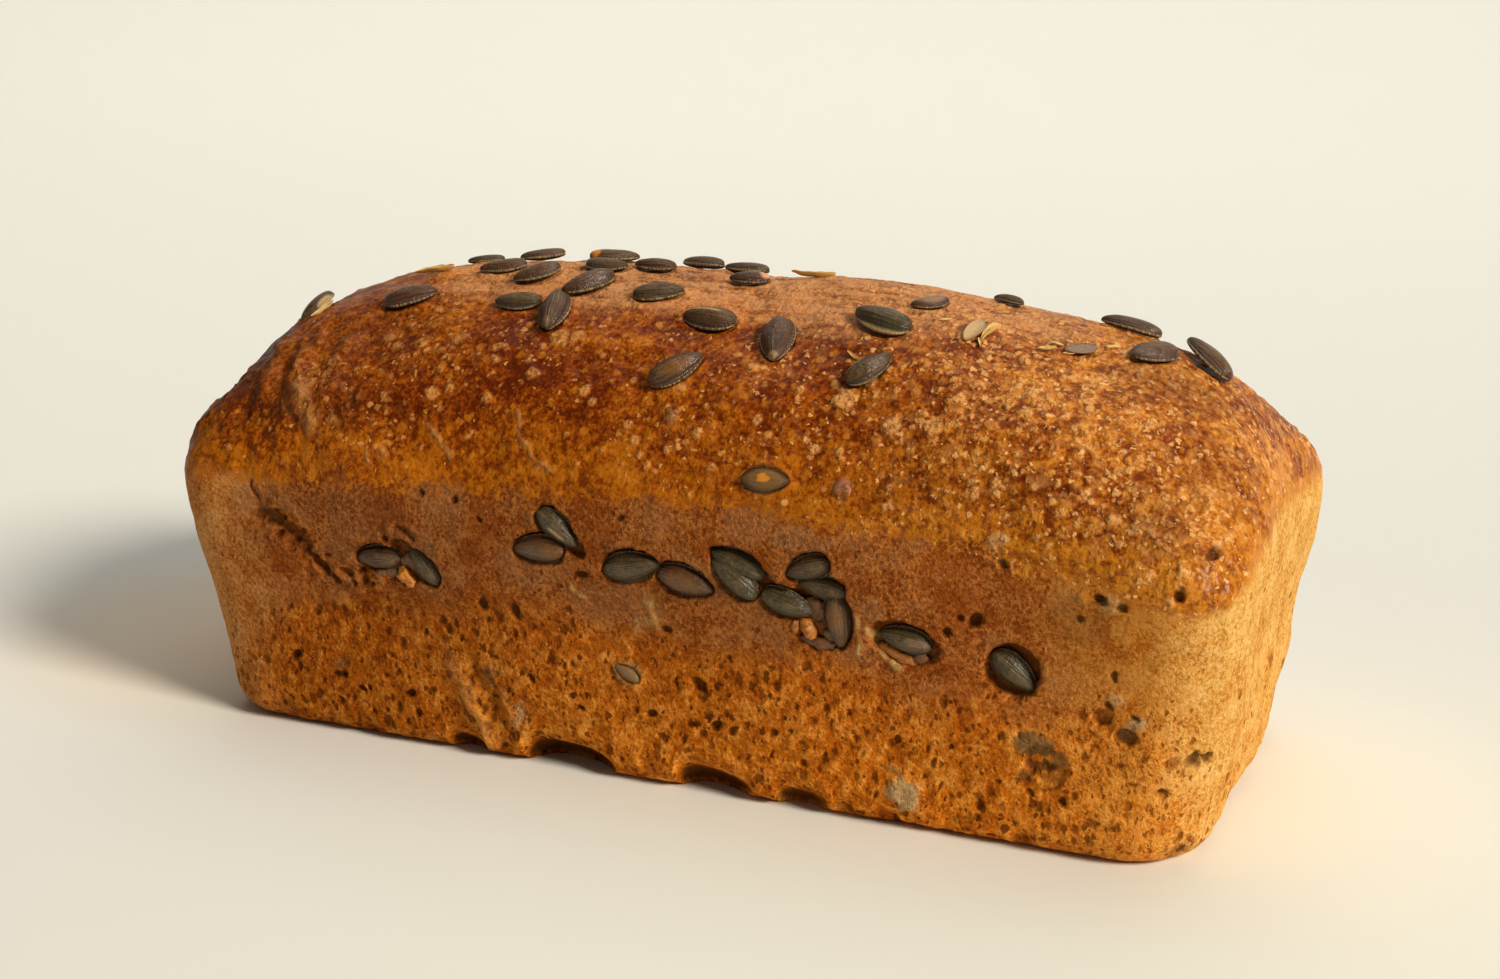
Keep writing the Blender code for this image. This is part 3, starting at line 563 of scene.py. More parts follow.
# Patches of another colour: place, reach along, across and up, tint, strength, lift.
patches = (
    ((63, -52, 9.6), (4.6, 8, 4.4), "flour", 0.9, 0.7),
    ((60.5, -53, 15), (2.8, 6, 1.6), "husk", 0.5, 0.2),
    ((94.0, -54, 28.0), (5.0, 6, 3.4), "oat", 0.85, 0.3),
    ((97.5, -54, 20.0), (4.6, 6, 2.4), "dough", 0.6, 0.4),
    ((100, -54, 25.5), (2.4, 6, 2.2), "oat", 0.6, 0.3),
    ((96, -54, 23.2), (4.2, 6, 1.6), "darkBit", 0.7, 0.0),
    ((92.5, -54, 20.0), (1.8, 6, 1.8), "darkBit", 0.6, 0.2),
    ((117.5, -55, 37), (2.4, 6, 1.9), "flour", 0.7, 0.3),
    ((115, -55, 33.8), (2.2, 6, 1.8), "oat", 0.8, 0.0),
    ((112.5, -55, 42.5), (1.8, 6, 1.6), "flour", 0.5, 0.3),
    ((129.5, -54, 27.5), (2.2, 6, 1.2), "oat", 0.7, 0.0),
    ((-59, -55.5, 56.5), (2.2, 6, 2.2), "oat", 0.4, 0.2),
    ((56, -55.5, 56.0), (3.0, 6, 4.0), "flour", 0.18, 0.1),
    ((46.5, -55.5, 83.0), (2.3, 6, 2.6), "rose", 0.8, 0.9),
    ((48, -55.5, 81.6), (1.0, 6, 1.4), "darkBit", 0.6, 0.2),
    ((1.4, -51, 93.8), (2.0, 5, 1.7), "oat", 0.7, 0.8),
    ((-8, -54.6, 30), (4.0, 6, 3.4), "tan", 0.75, 0.0),
    ((-31, -57, 68), (3.0, 6, 2.0), "oat", 0.35, 0.2),
    ((-10, -58, 63.5), (2.2, 6, 2.0), "plum", 0.4, 0.1),
    ((-46, -53.5, 24), (2.4, 6, 3.2), "oat", 0.35, 0.3),
    ((-38, -53.5, 13), (2.2, 6, 3.8), "flour", 0.45, 0.3),
    ((-90, -55, 20), (3.0, 6, 2.2), "oat", 0.3, 0.0),
    ((-102, -58, 57.5), (7.5, 6, 3.6), "russetSkin", 0.80, 0.0),
    ((-92, -57, 48), (5.5, 6, 2.6), "russetSkin", 0.55, 0.0),
    ((-82, -57, 46), (6.0, 6, 2.6), "russetSkin", 0.45, 0.0),
    ((105, -56, 60.5), (8.0, 6, 6.0), "warmSkin", 0.45, 0.0),
    ((104, -55, 66), (2.0, 6, 2.0), "oat", 0.40, 0.4),
    ((111.5, -58, 65.4), (2.6, 6, 2.0), "flour", 0.45, 0.3),
    ((84, -57, 76), (3.0, 6, 2.2), "flour", 0.4, 0.3),
    ((-4, -54.6, 44), (2.2, 6, 3.2), "flour", 0.25, 0.2),
    ((38.5, -58, 71), (9.0, 6, 3.0), "flour", 0.22, 0.0),
    ((-78, -58.5, 66), (16, 6, 5), "plum", 0.16, 0.0),
    ((113, -12, 104), (17, 12, 12), "scorch", 0.42, 0.0),
    ((129, -29, 90), (11, 14, 9), "scorch", 0.30, 0.0),
    ((118, -50, 83), (10, 10, 8), "scorch", 0.35, 0.0),
    ((-126, -36, 92), (15, 20, 13), "scorch", 0.85, 0.0),
    ((-136, -40, 80), (9, 22, 8), "scorch", 0.75, 0.0),
    ((-104, -50, 90), (6.0, 8, 7), "scorch", 0.55, 0.0),
    ((-86, -52, 90), (6, 8, 6), "scorch", 0.5, 0.0),
    ((-95, -34, 103), (22, 14, 10), "scorch", 0.35, 0.0),
    ((128, -51, 4), (4.5, 8, 2.0), "scorch", 0.9, 0.0),
)

# Where the dome is baked darker (below 0), or lighter, the lighter ones partly as painted sheen on
# the glaze: place, reach, how much.
toneShifts = (
    ((33, -45, 95), 11, -0.5), ((-35, -45, 96), 17, -0.35), ((90, -51, 85), 8, -0.6),
    ((-60, -55, 81), 9, -0.35), ((62, -43, 97), 11, 0.6), ((98, -23, 106), 15, 0.7),
    ((125, -47, 83), 9, 0.8), ((-33, -34, 106), 9, 0.5), ((-104, -30, 102), 10, 0.35),
    ((104, -40, 96), 9, 0.4), ((133, -34, 85), 8, 0.5), ((-80, -30, 104), 9, 0.3),
    ((80, -29, 106), 10, 0.3), ((-119, -54, 77), 8, -0.4), ((58, -27, 109), 9, 0.7),
    ((34, -32, 106), 9, -0.4), ((-14, -33, 107), 8, 0.7), ((98, -22, 104), 10, 0.5),
    ((126, -14, 95), 12, 0.5), ((112, -57, 74), 8, -1.2), ((62, -50, 88), 9, -0.4),
    ((-19, -51, 87), 10, -0.5), ((-84, -41, 98), 7, -0.4), ((14, -30, 108), 7, -0.5),
    ((71, -24, 109), 8, -0.45), ((-77, -8, 114), 13, 1.2), ((-55, -31, 107), 6, 0.4),
    ((106, -41, 94), 6, -0.3), ((-22, -9, 116), 13, -0.7), ((99, -4, 110), 9, 0.8),
)

patchTints = {   # linear colours
    "flour": (0.50, 0.34, 0.16), "oat": (0.22, 0.135, 0.055), "husk": (0.26, 0.17, 0.06),
    "tan": (0.30, 0.165, 0.05), "dough": (0.60, 0.22, 0.030), "plum": (0.20, 0.075, 0.04),
    "rose": (0.36, 0.155, 0.085), "darkBit": (0.06, 0.03, 0.015), "scorch": (0.105, 0.024, 0.007),
    "russetSkin": (0.36, 0.100, 0.012), "warmSkin": (0.42, 0.170, 0.038),
}
softPatches = ("scorch", "warmSkin")     # these fade out over most of their reach

# The masks that the relief leaves for the crust's material. Two of them carry painted shade: one for
# the pockets and the hollows under the front edge, one for holes, furrows, dips of torn crust and the
# backs of those hollows. The pale one is partly painted highlight.
crustMasks = ("overLine", "blister", "pit", "porous", "crumb", "turned", "pale", "dark", "hollow", "crest",
              "crowd", "shift")


def lineHeight(points):
    # Height of the border between the glossy dome and the matt side at each place round the loaf.
    marks = crustMarks
    x, y = points[:, 0], points[:, 1]
    along = np.interp(x, *zip(*marks["lineAlong"]))
    atEnd = np.interp(y, *zip(*marks["lineAtEnds"]))
    return along + (atEnd - along) * smooth(129.0, 136.0, np.abs(x))


def hollowLift(points):
    # How far the front edge is lifted: half of an egg over each hollow, steeper on its left.
    lift = np.zeros(len(points))
    inner = points[:, 1] + loafForm["baseWidth"] / 2 + 1.0
    for x, left, right, height, reach in edgeHollows:
        away = (points[:, 0] - x) / np.where(points[:, 0] < x, left, right)
        egg = 1.0 - np.abs(away) ** 2.2 - (np.clip(inner, 0.0, None) / reach) ** 2
        lift = np.maximum(lift, height * np.sqrt(np.clip(egg, 0.0, 1.0)))
    return lift


def crustZones(points):
    # Where each kind of crust is, mostly from 0 to 1, with the ragged noise that their edges share.
    x, y, z = points.T
    zones = SimpleNamespace(points=points, front=y < -30)
    zones.overLine = z - lineHeight(points) + crustMarks["lineRagged"] * layered(points, 9.0, 3, 11)
    zones.glaze = smooth(-2.0, 2.5, zones.overLine)
    zones.side = 1.0 - zones.glaze
    zones.crest = smooth(106.0, 118.5, z + 2.0 * layered(points, (30.0, 8.0, 8.0), 2, 13))
    zones.ends = smooth(126.0, 134.0, np.abs(x)) * (1.0 - smooth(80.0, 95.0, z))
    zones.turned = np.maximum(smooth(82.0, 124.0, x + 4.0 * layered(points, 16.0, 3, 15)),
                              smooth(103.0, 128.0, -x + 7.0 * layered(points, 12.0, 2, 17)))
    edge = z - np.interp(x, *zip(*crustMarks["porousTop"])) + 5.0 * layered(points, 13.0, 4, 21)
    zones.porous = (1.0 - smooth(-7.0, 6.0, edge)) * (1.0 - 0.7 * zones.ends)
    zones.warp = np.stack([waves(points, 2.8, salt) for salt in (31, 32, 33)], axis=1)
    zones.warped = points + 0.7 * zones.warp
    zones.ragged = waves(points, 1.5, 37)
    zones.grainy = layered(points + 0.5 * zones.warp, 1.7, 2, 68)
    crowd = 0.12 + 0.80 * smooth(-5.0, 88.0, x) + 0.34 * layered(points, 18.0, 3, 41)
    crowd = np.clip(withPlaces(crowd, points, blobCrowds), 0.02, 1.0)
    zones.crowd = crowd * (0.35 + 0.65 * smooth(2.0, 16.0, zones.overLine))
    return zones


def domeRelief(zones):
    # Dome: orange peel, blisters that grow denser to the right, folds at the left end, and fine
    # wrinkles near the crest.
    form, points, glaze = crustRelief, zones.points, zones.glaze
    large = cellBumps(zones.warped, form["largeSize"], 51, 0.05 + 0.28 * zones.crowd, (0.16, 0.42))
    middling = cellBumps(zones.warped, form["middlingSize"], 61, 0.08 + 0.62 * zones.crowd, (0.20, 0.50))
    peel = form["peel"] * layered(points, form["peelSize"], 3, 35)
    height = glaze * (peel + form["domeGrain"] * zones.grainy)
    blisters = form["large"] * large**0.6 + form["middling"] * middling**0.6
    height += glaze * blisters * (1.0 - 0.5 * zones.crest)
    folded = bell(np.linalg.norm(points - np.array(form["foldedPlace"]), axis=1), form["foldedReach"])
    height += folded * glaze * form["folds"] * layered(points, (4.5, 5.5, 10.0), 3, 76)
    height += glaze * zones.crest * form["wrinkles"] * layered(points, (9.0, 1.2, 2.0), 3, 71)
    raised = np.maximum(smooth(0.05, 0.5, large), 0.9 * smooth(0.08, 0.6, middling))
    zones.blister = glaze * raised * (1.0 - 0.4 * zones.crest)
    return height


def sideRelief(zones):
    # Side: a smooth matt band, and open dough with slanted pores lower down.
    form, points = crustRelief, zones.points
    slanted = zones.warped @ np.array([[1.0, 0.0, 0.35], [0.0, 1.0, 0.0], [-0.35, 0.0, 1.0]])
    sponge = layered(slanted, (2.4, 2.6, 3.6), 3, 91)
    wide = cellBumps(slanted, (3.4, 3.6, 5.0), 101, 0.55 * zones.porous, (0.14, 0.44))
    rough = (0.35 + 0.40 * zones.porous) * layered(points, form["peelSize"], 3, 111)
    shallow = 1.0 - 0.35 * smooth(40.0, 125.0, points[:, 0])
    opened = shallow * zones.porous * (form["sponge"] * sponge - form["pores"] * wide**0.5)
    # This mask only darkens the colour inside the wide pores, which is painted shade.
    zones.pit = zones.side * smooth(0.0, 0.5, wide)
    zones.crumb = np.clip(0.5 + 0.35 * sponge, 0.0, 1.0)
    return zones.side * (form["rough"] * rough + form["sideGrain"] * zones.grainy + opened)


def singleMarks(zones, height):
    # Lumpy torn crust along the crack on the left, upright creases on the ends, raised patches,
    # lines and small holes, with wavering edges. Adds to the height in place, and also gives what
    # they pale or darken. The darkening, in holes, furrows and the dips of torn crust, is painted
    # shade; the paling is pale cracks, and on ridges and lump tops partly painted highlight.
    form, points, ragged = crustRelief, zones.points, zones.ragged
    x, _, z = points.T
    gaps = ((np.linalg.norm(points - np.array(place), axis=1), reach) for place, reach in tornPlaces)
    torn = np.max([bell(gap, reach) for gap, reach in gaps], axis=0)
    lumps = layered(points, 3.2, 3, 79)
    height += torn * zones.side * form["torn"] * lumps
    height += zones.ends * form["endCreases"] * layered(points, (4.0, 2.6, 26.0), 3, 121)
    # On the torn crust the lumps' highest parts are paler, partly as painted highlight, and painted shade
    # darkens their dips.
    pale, dark = 0.30 * torn * smooth(0.3, 1.2, lumps), 0.60 * torn * smooth(-0.1, -0.9, lumps)
    for place, reach, _, _, lift in patches:
        if lift:
            away = np.linalg.norm((points - np.array(place, float)) / reach, axis=1) + 0.25 * ragged
            height += lift * smooth(1.15, 0.6, away)
    wandering = points + 1.2 * zones.warp
    for route, width, lift, tone in creases:
        mask = bell(lineGap(wandering, route) / (width * (1.0 + 0.4 * ragged)), 1.0)
        height += lift * mask
        pale = np.maximum(pale, max(tone, 0.0) * mask)
        dark = np.maximum(dark, max(-tone, 0.0) * mask)
    rng = np.random.default_rng(form["holeSeed"])
    for holeX, holeZ, radius, depth in pinHoles:
        turn, stretched = rng.uniform(0.0, np.pi), rng.uniform(1.0, 1.6)
        along = (x - holeX) * np.cos(turn) + (z - holeZ) * np.sin(turn)
        beside = (z - holeZ) * np.cos(turn) - (x - holeX) * np.sin(turn)
        away = np.hypot(along / stretched, beside * stretched**0.5) / radius + 0.35 * ragged
        hole = zones.front * smooth(1.2, 0.5, away)
        height -= depth * hole
        # Painted shade inside each hole.
        dark = np.maximum(dark, 0.8 * hole)
    zones.pale, zones.dark = pale, dark


def openPockets(zones, height):
    # Pockets round the seeds of the front side, with steep walls and a gap over each seed, and wider
    # open ones. A seed under the glaze gets a low rim. In a pocket the fine relief goes. The pockets
    # also get painted shade, most of it in the gap over each seed and more in the deeper open ones.
    form = crustRelief
    picked = np.flatnonzero(zones.front & (zones.points[:, 2] < 95))
    near, ragged = zones.points[picked], zones.ragged[picked]
    depth, hollow = np.zeros(len(near)), np.zeros(len(near))
    for seedX, seedZ, heading, length, sunk, _ in frontSeeds:
        axes = crustFrame(seedX, seedZ, True)
        gap = seedGap(flattened(axes, heading, near), length)
        if sunk > 0.5:
            over = seedGap(flattened(axes, heading, near - (0.0, 0.0, form["pocketLift"])), length)
            # Painted shade: strong in the gap over the seed, weaker round the rest of the pocket.
            shade = np.where(over < gap, 0.95, 0.5)
            gap = np.minimum(gap, over) - form["pocketMargin"] * (1.0 + ragged)
            depth = np.maximum(depth, (sunk + 0.9) * smooth(0.0, -form["pocketWall"], gap))
            hollow = np.maximum(hollow, shade * smooth(0.5, -0.7, gap))
        else:
            height[picked] += 0.45 * bell(gap - 0.4, 0.7) - 0.9 * smooth(0.2, -1.0, gap)
    for pocketX, pocketZ, halfLength, halfHeight, tilt, sunk in pockets:
        local = flattened(crustFrame(pocketX, pocketZ, True), tilt, near)
        away = np.hypot(local[:, 0] / halfLength, local[:, 1] / halfHeight) + 0.09 * ragged
        inside = smooth(1.08, 0.78, away)
        depth = np.maximum(depth, sunk * inside)
        # Painted shade in an open pocket, darker the deeper it is.
        hollow = np.maximum(hollow, inside * min(1.0, sunk / 3.0))
    height[picked] = height[picked] * (1.0 - smooth(0.3, 1.2, depth)) - depth
    zones.hollow = np.zeros(len(height))
    zones.hollow[picked] = hollow


def domeMarks(zones, height):
    # Single blobs on the dome's front, and the crust drawn up a little round each seed on the dome.
    picked = np.flatnonzero(zones.front & (zones.points[:, 2] > 76))
    for blobX, blobY, radius in paleBlobs:
        local = flattened(crustFrame(blobX, blobY, False), 0.0, zones.points[picked])
        blob = smooth(1.2, 0.6, np.linalg.norm(local, axis=1) / radius + 0.3 * zones.ragged[picked])
        height[picked] += crustRelief["blob"] * blob
        zones.blister[picked] = np.maximum(zones.blister[picked], 1.15 * blob)
    picked = np.flatnonzero(zones.points[:, 2] > 84)
    for x, y, heading, length, *_ in topSeeds + farSeeds():
        local = flattened(crustFrame(x, y, False), heading, zones.points[picked])
        gap = seedGap(local, length)
        drawn = 0.30 * bell(gap - 0.6, 0.9) - 0.35 * smooth(0.2, -1.5, gap)
        height[picked] += (np.abs(local[:, 2]) < 8.0) * drawn


def markCrust(points):
    # Height of the fine relief and the masks that the crust's material reads.
    zones = crustZones(points)
    height = domeRelief(zones)
    height += sideRelief(zones)
    singleMarks(zones, height)
    openPockets(zones, height)
    domeMarks(zones, height)
    zones.shift = withPlaces(np.zeros(len(points)), points, toneShifts)
    return height, {name: getattr(zones, name) for name in crustMasks}


def patchColour(points):
    # Colour and strength of the patches: each one covers what lies under it, by its strength.
    colour = np.zeros((len(points), 4))
    ragged = 0.38 * layered(points, 2.8, 3, 141)
    for place, reach, tint, strength, _ in patches:
        edge = (1.5, 0.2) if tint in softPatches else (1.1, 0.75)
        away = np.linalg.norm((points - np.array(place, float)) / reach, axis=1) + ragged
        share = strength * smooth(*edge, away)
        rest = colour[:, 3] * (1.0 - share)
        mixed = np.array(patchTints[tint]) * share[:, None] + colour[:, :3] * rest[:, None]
        colour = np.column_stack([mixed / np.maximum(share + rest, 1e-6)[:, None], share + rest])
    return colour


def newPiece(name, points, quads, triangles, material, normals=None, fields=None, colour=None):
    # Writes whole arrays into a mesh, sets its normals and attributes, and hands it to the frame.
    mesh = bpy.data.meshes.new(name)
    quads, triangles = np.reshape(quads, (-1, 4)), np.reshape(triangles, (-1, 3))
    corners = np.concatenate([quads.ravel(), triangles.ravel()]).astype(np.int32)
    starts = np.concatenate([np.arange(len(quads)) * 4, 4 * len(quads) + np.arange(len(triangles)) * 3])
    mesh.vertices.add(len(points))
    mesh.vertices.foreach_set("co", (np.asarray(points) * metres).astype(np.float32).ravel())
    mesh.loops.add(len(corners))
    mesh.loops.foreach_set("vertex_index", corners)
    mesh.polygons.add(len(starts))
    mesh.polygons.foreach_set("loop_start", starts.astype(np.int32))
    mesh.update(calc_edges=True)
    for key, values in (fields or {}).items():
        mesh.attributes.new(key, "FLOAT", "POINT").data.foreach_set("value", values.astype(np.float32))
    if colour is not None:
        layer = mesh.attributes.new("patch", "FLOAT_COLOR", "POINT")
        layer.data.foreach_set("color", colour.astype(np.float32).ravel())
    mesh.shade_smooth()
    if normals is not None:
        mesh.normals_split_custom_set_from_vertices(normals.astype(np.float32))
    mesh.materials.append(material)
    piece = bpy.data.objects.new(name, mesh)
    bpy.context.scene.collection.objects.link(piece)
    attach(piece, "root")
    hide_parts("loaf")
    print(f"{name}: {len(quads) * 2 + len(triangles)} triangles")


def welded(points, quads):
    # Joins the points that lie on one another. Quads that this closes become triangles or go.
    # Gives the first of each set of points, the quads and the triangles.
    _, first, index = np.unique(np.round(points, 4), axis=0, return_index=True, return_inverse=True)
    quads = index.reshape(-1)[quads]
    same = quads == np.roll(quads, -1, axis=1)
    closed = same.sum(axis=1) == 1
    return first, quads[~same.any(axis=1)], quads[closed][~same[closed]].reshape(-1, 3)


def addNode(tree, kind, inputs=None, **settings):
    # One node with its settings, and with a value or a link for each input named.
    node = tree.nodes.new(kind)
    for key, value in settings.items():
        setattr(node, key, value)
    for key, value in (inputs or {}).items():
        if isinstance(value, bpy.types.NodeSocket):
            tree.links.new(value, node.inputs[key])
        else:
            node.inputs[key].default_value = value
    return node


def treeOf(*values):
    # The node tree that the first socket among the values belongs to.
    return next(value.id_data for value in values if isinstance(value, bpy.types.NodeSocket))


def combine(operation, first, second=0.0):
    node = addNode(treeOf(first, second), "ShaderNodeMath", {0: first, 1: second}, operation=operation)
    return node.outputs[0]


def product(*factors):
    result = factors[0]
    for factor in factors[1:]:
        result = combine("MULTIPLY", result, factor)
    return result


def total(*parts):
    result = parts[0]
    for part in parts[1:]:
        result = combine("ADD", result, part)
    return result


def centred(value):
    return combine("SUBTRACT", value, 0.5)


def blend(share, under, over, mode="MIX"):
    # One colour over another by a share. A plain colour gets its alpha here.
    under, over = ((*colour, 1.0) if isinstance(colour, tuple) else colour for colour in (under, over))
    inputs = {0: share, 6: under, 7: over}
    node = addNode(treeOf(*inputs.values()), "ShaderNodeMix", inputs, data_type="RGBA", blend_type=mode)
    return node.outputs[2]


def stretch(value, low, high, toLow=0.0, toHigh=1.0):
    # toLow at low, toHigh at high, and a smooth step between them.
    inputs = {"Value": value, "From Min": low, "From Max": high, "To Min": toLow, "To Max": toHigh}
    node = addNode(value.id_data, "ShaderNodeMapRange", inputs, interpolation_type="SMOOTHSTEP")
    return node.outputs["Result"]


def ramp(share, stops):
    node = addNode(share.id_data, "ShaderNodeValToRGB", {"Fac": share})
    band = node.color_ramp
    while len(band.elements) < len(stops):
        band.elements.new(0.5)
    for element, (place, colour) in zip(band.elements, stops):
        element.position = place
        element.color = (*colour, 1.0)
    return node.outputs["Color"]


def noise(place, scale, detail, output=0):
    inputs = {"Vector": place, "Scale": scale, "Detail": detail}
    return addNode(place.id_data, "ShaderNodeTexNoise", inputs).outputs[output]


def mapped(place, scale, turn=(0.0, 0.0, 0.0)):
    # Places turned and squeezed, which draws a pattern out along an axis.
    inputs = {"Vector": place, "Rotation": turn, "Scale": scale}
    return addNode(place.id_data, "ShaderNodeMapping", inputs).outputs[0]


def attribute(tree, name, output="Fac"):
    return addNode(tree, "ShaderNodeAttribute", attribute_name=name).outputs[output]


def objectPlace(tree):
    return addNode(tree, "ShaderNodeTexCoord").outputs["Object"]


def newGroup(name, inputs, outputs):
    # An empty node group of named inputs with their usual values, and of named outputs.
    group = bpy.data.node_groups.new(name, "ShaderNodeTree")
    for label, value in inputs.items():
        kind = "NodeSocketVector" if isinstance(value, tuple) else "NodeSocketFloat"
        group.interface.new_socket(label, in_out="INPUT", socket_type=kind).default_value = value
    for label in outputs:
        group.interface.new_socket(label, in_out="OUTPUT", socket_type="NodeSocketFloat")
    return group, group.nodes.new("NodeGroupInput").outputs, group.nodes.new("NodeGroupOutput").inputs


def bakedGrainGroup():
    # Grain of baked dough: a tone from 0 to 1 made of three noises, the finest one laid over the
    # others by a share.
    group, given, made = newGroup("bakedGrain", {"Vector": (0, 0, 0), "Size": 1.0, "Fine": 0.4}, ["Tone"])
    scale = combine("DIVIDE", 1000.0, given["Size"])
    tone = 0.5
    for pitch, share in ((0.22, 0.4), (1.0, 0.7), (2.6, given["Fine"])):
        inputs = {"Vector": given["Vector"], "Scale": product(scale, pitch), "Detail": 2.0, "Roughness": 0.55}
        layer = addNode(group, "ShaderNodeTexNoise", inputs).outputs[0]
        tone = total(product(centred(layer), share), tone)
    group.links.new(tone, made["Tone"])
    return group


def roundSpotsGroup():
    # Round spots: a share of the cells of a Voronoi pattern (the density) holds one each, between a
    # smallest and a largest radius. The mask is 1 on a spot and fades out from the edge, the height
    # is a half ball's, and the share is the spot's own number from 0 to 1.
    inputs = {"Vector": (0, 0, 0), "Size": 1.0, "Density": 0.5,
              "Smallest": 0.15, "Largest": 0.45, "Edge": 0.7}
    group, given, made = newGroup("roundSpots", inputs, ["Mask", "Height", "Share"])
    scale = combine("DIVIDE", 1000.0, given["Size"])
    cell = addNode(group, "ShaderNodeTexVoronoi", {"Vector": given["Vector"], "Scale": scale}).outputs
    shares = addNode(group, "ShaderNodeSeparateColor", {0: cell["Color"]}).outputs
    spread = combine("SUBTRACT", given["Largest"], given["Smallest"])
    away = combine("DIVIDE", cell["Distance"], total(given["Smallest"], product(spread, shares[1])))
    there = combine("LESS_THAN", shares[0], given["Density"])
    ball = combine("SQRT", combine("MAXIMUM", combine("SUBTRACT", 1.0, product(away, away)), 0.0))
    group.links.new(product(stretch(away, 1.0, given["Edge"]), there), made["Mask"])
    group.links.new(product(ball, there), made["Height"])
    group.links.new(shares[2], made["Share"])
    return group


bakedGrain, roundSpots = bakedGrainGroup(), roundSpotsGroup()


def grain(place, size, fine):
    inputs = {"Vector": place, "Size": size, "Fine": fine}
    return addNode(place.id_data, "ShaderNodeGroup", inputs, node_tree=bakedGrain).outputs["Tone"]


def spots(place, form, density):
    # Spots of one form, which gives their size in millimetres, smallest and largest radius, and edge.
    inputs = {"Vector": place, "Density": density, **dict(zip(("Size", "Smallest", "Largest", "Edge"), form))}
    return addNode(place.id_data, "ShaderNodeGroup", inputs, node_tree=roundSpots).outputs


def someOf(spot, fewest, most):
    # The mask of spots, each as strong as its own number says.
    return product(spot["Mask"], stretch(spot["Share"], 0.0, 1.0, fewest, most))


def newMaterial(name):
    material = bpy.data.materials.new(name)
    material.use_nodes = True
    tree = material.node_tree
    return material, tree, tree.nodes["Principled BSDF"]


def addBump(tree, shader, strength, distance, height):
    bump = addNode(tree, "ShaderNodeBump", {"Strength": strength, "Distance": distance, "Height": height})
    tree.links.new(bump.outputs["Normal"], shader.inputs["Normal"])


crustFinish = {
    # Linear colours. Each row of tones runs from dark to pale.
    "domeTones": ((0.34, (0.105, 0.014, 0.001)), (0.45, (0.230, 0.042, 0.002)),
                  (0.55, (0.365, 0.090, 0.003)), (0.66, (0.520, 0.168, 0.012)),
                  (0.78, (0.700, 0.320, 0.070))),
    "bandTones": ((0.38, (0.150, 0.034, 0.004)), (0.50, (0.275, 0.080, 0.014)),
                  (0.62, (0.410, 0.146, 0.036))),
    "porousTones": ((0.34, (0.230, 0.046, 0.003)), (0.50, (0.430, 0.112, 0.006)),
                    (0.66, (0.650, 0.246, 0.040))),
    "skinTones": ((0.39, (0.540, 0.200, 0.028)), (0.49, (0.735, 0.410, 0.095)),
                  (0.60, (0.850, 0.560, 0.200))),
    "beltGold": (0.43, 0.127, 0.004), "amber": (0.52, 0.165, 0.008), "russet": (0.130, 0.020, 0.002),
    # The dust colour on the crest is partly painted sheen.
    "blobLeft": (0.66, 0.30, 0.085), "blobRight": (0.92, 0.50, 0.170), "dustAndSheen": (0.72, 0.34, 0.130),
    "ashTan": (0.300, 0.132, 0.050), "rust": (0.225, 0.050, 0.005), "palePoint": (0.520, 0.230, 0.075),
    "paleCrumb": (0.720, 0.365, 0.1225), "freckle": (0.340, 0.082, 0.007), "paleSkin": (0.95, 0.68, 0.30),
    # Painted shade: the colours inside pores, pockets and hollows.
    "poreShade": (0.120, 0.027, 0.002), "skinPoreShade": (0.300, 0.078, 0.006), "hollow": (0.096, 0.028, 0.005),
    # The pale line colour is partly painted highlight; the dark mark colour serves painted shade as well as
    # real dark mottling.
    "paleLine": (0.60, 0.35, 0.12), "darkMark": (0.06, 0.016, 0.003),
    # What the colours of a whole region are multiplied by.
    "rightDome": (1.32, 1.62, 3.20), "rightSide": (1.34, 1.33, 1.25), "lowSide": (1.24, 1.36, 1.40),
    "farLeft": (0.75, 0.68, 0.52), "leftEnd": (0.80, 0.60, 0.60), "rightCorner": (0.92, 0.62, 0.34),
    # Spots: size in millimetres, smallest and largest radius as shares of it, and where the edge starts.
    "amberSpots": (2.9, 0.22, 0.60, 0.55), "russetSpots": (2.3, 0.20, 0.62, 0.45),
    "blobs": (2.2, 0.16, 0.56, 0.50), "dots": (1.4, 0.16, 0.50, 0.50), "points": (1.1, 0.14, 0.44, 0.40),
    "stains": (1.35, 0.20, 0.56, 0.30), "holes": (2.6, 0.16, 0.46, 0.70), "pores": (1.5, 0.18, 0.52, 0.55),
    # Heights in millimetres.
    "blobHeight": 0.40, "dotHeight": 0.22, "mealHeight": 0.40, "holeDepth": 0.55, "poreDepth": 0.36,
    "mottleHeight": 0.7, "sideGrain": 0.5, "domeGrain": 0.22,
    "domeRoughness": 0.42, "sideRoughness": 0.72, "coat": 0.17, "coatRoughness": 0.25, "gloss": 0.03,
}


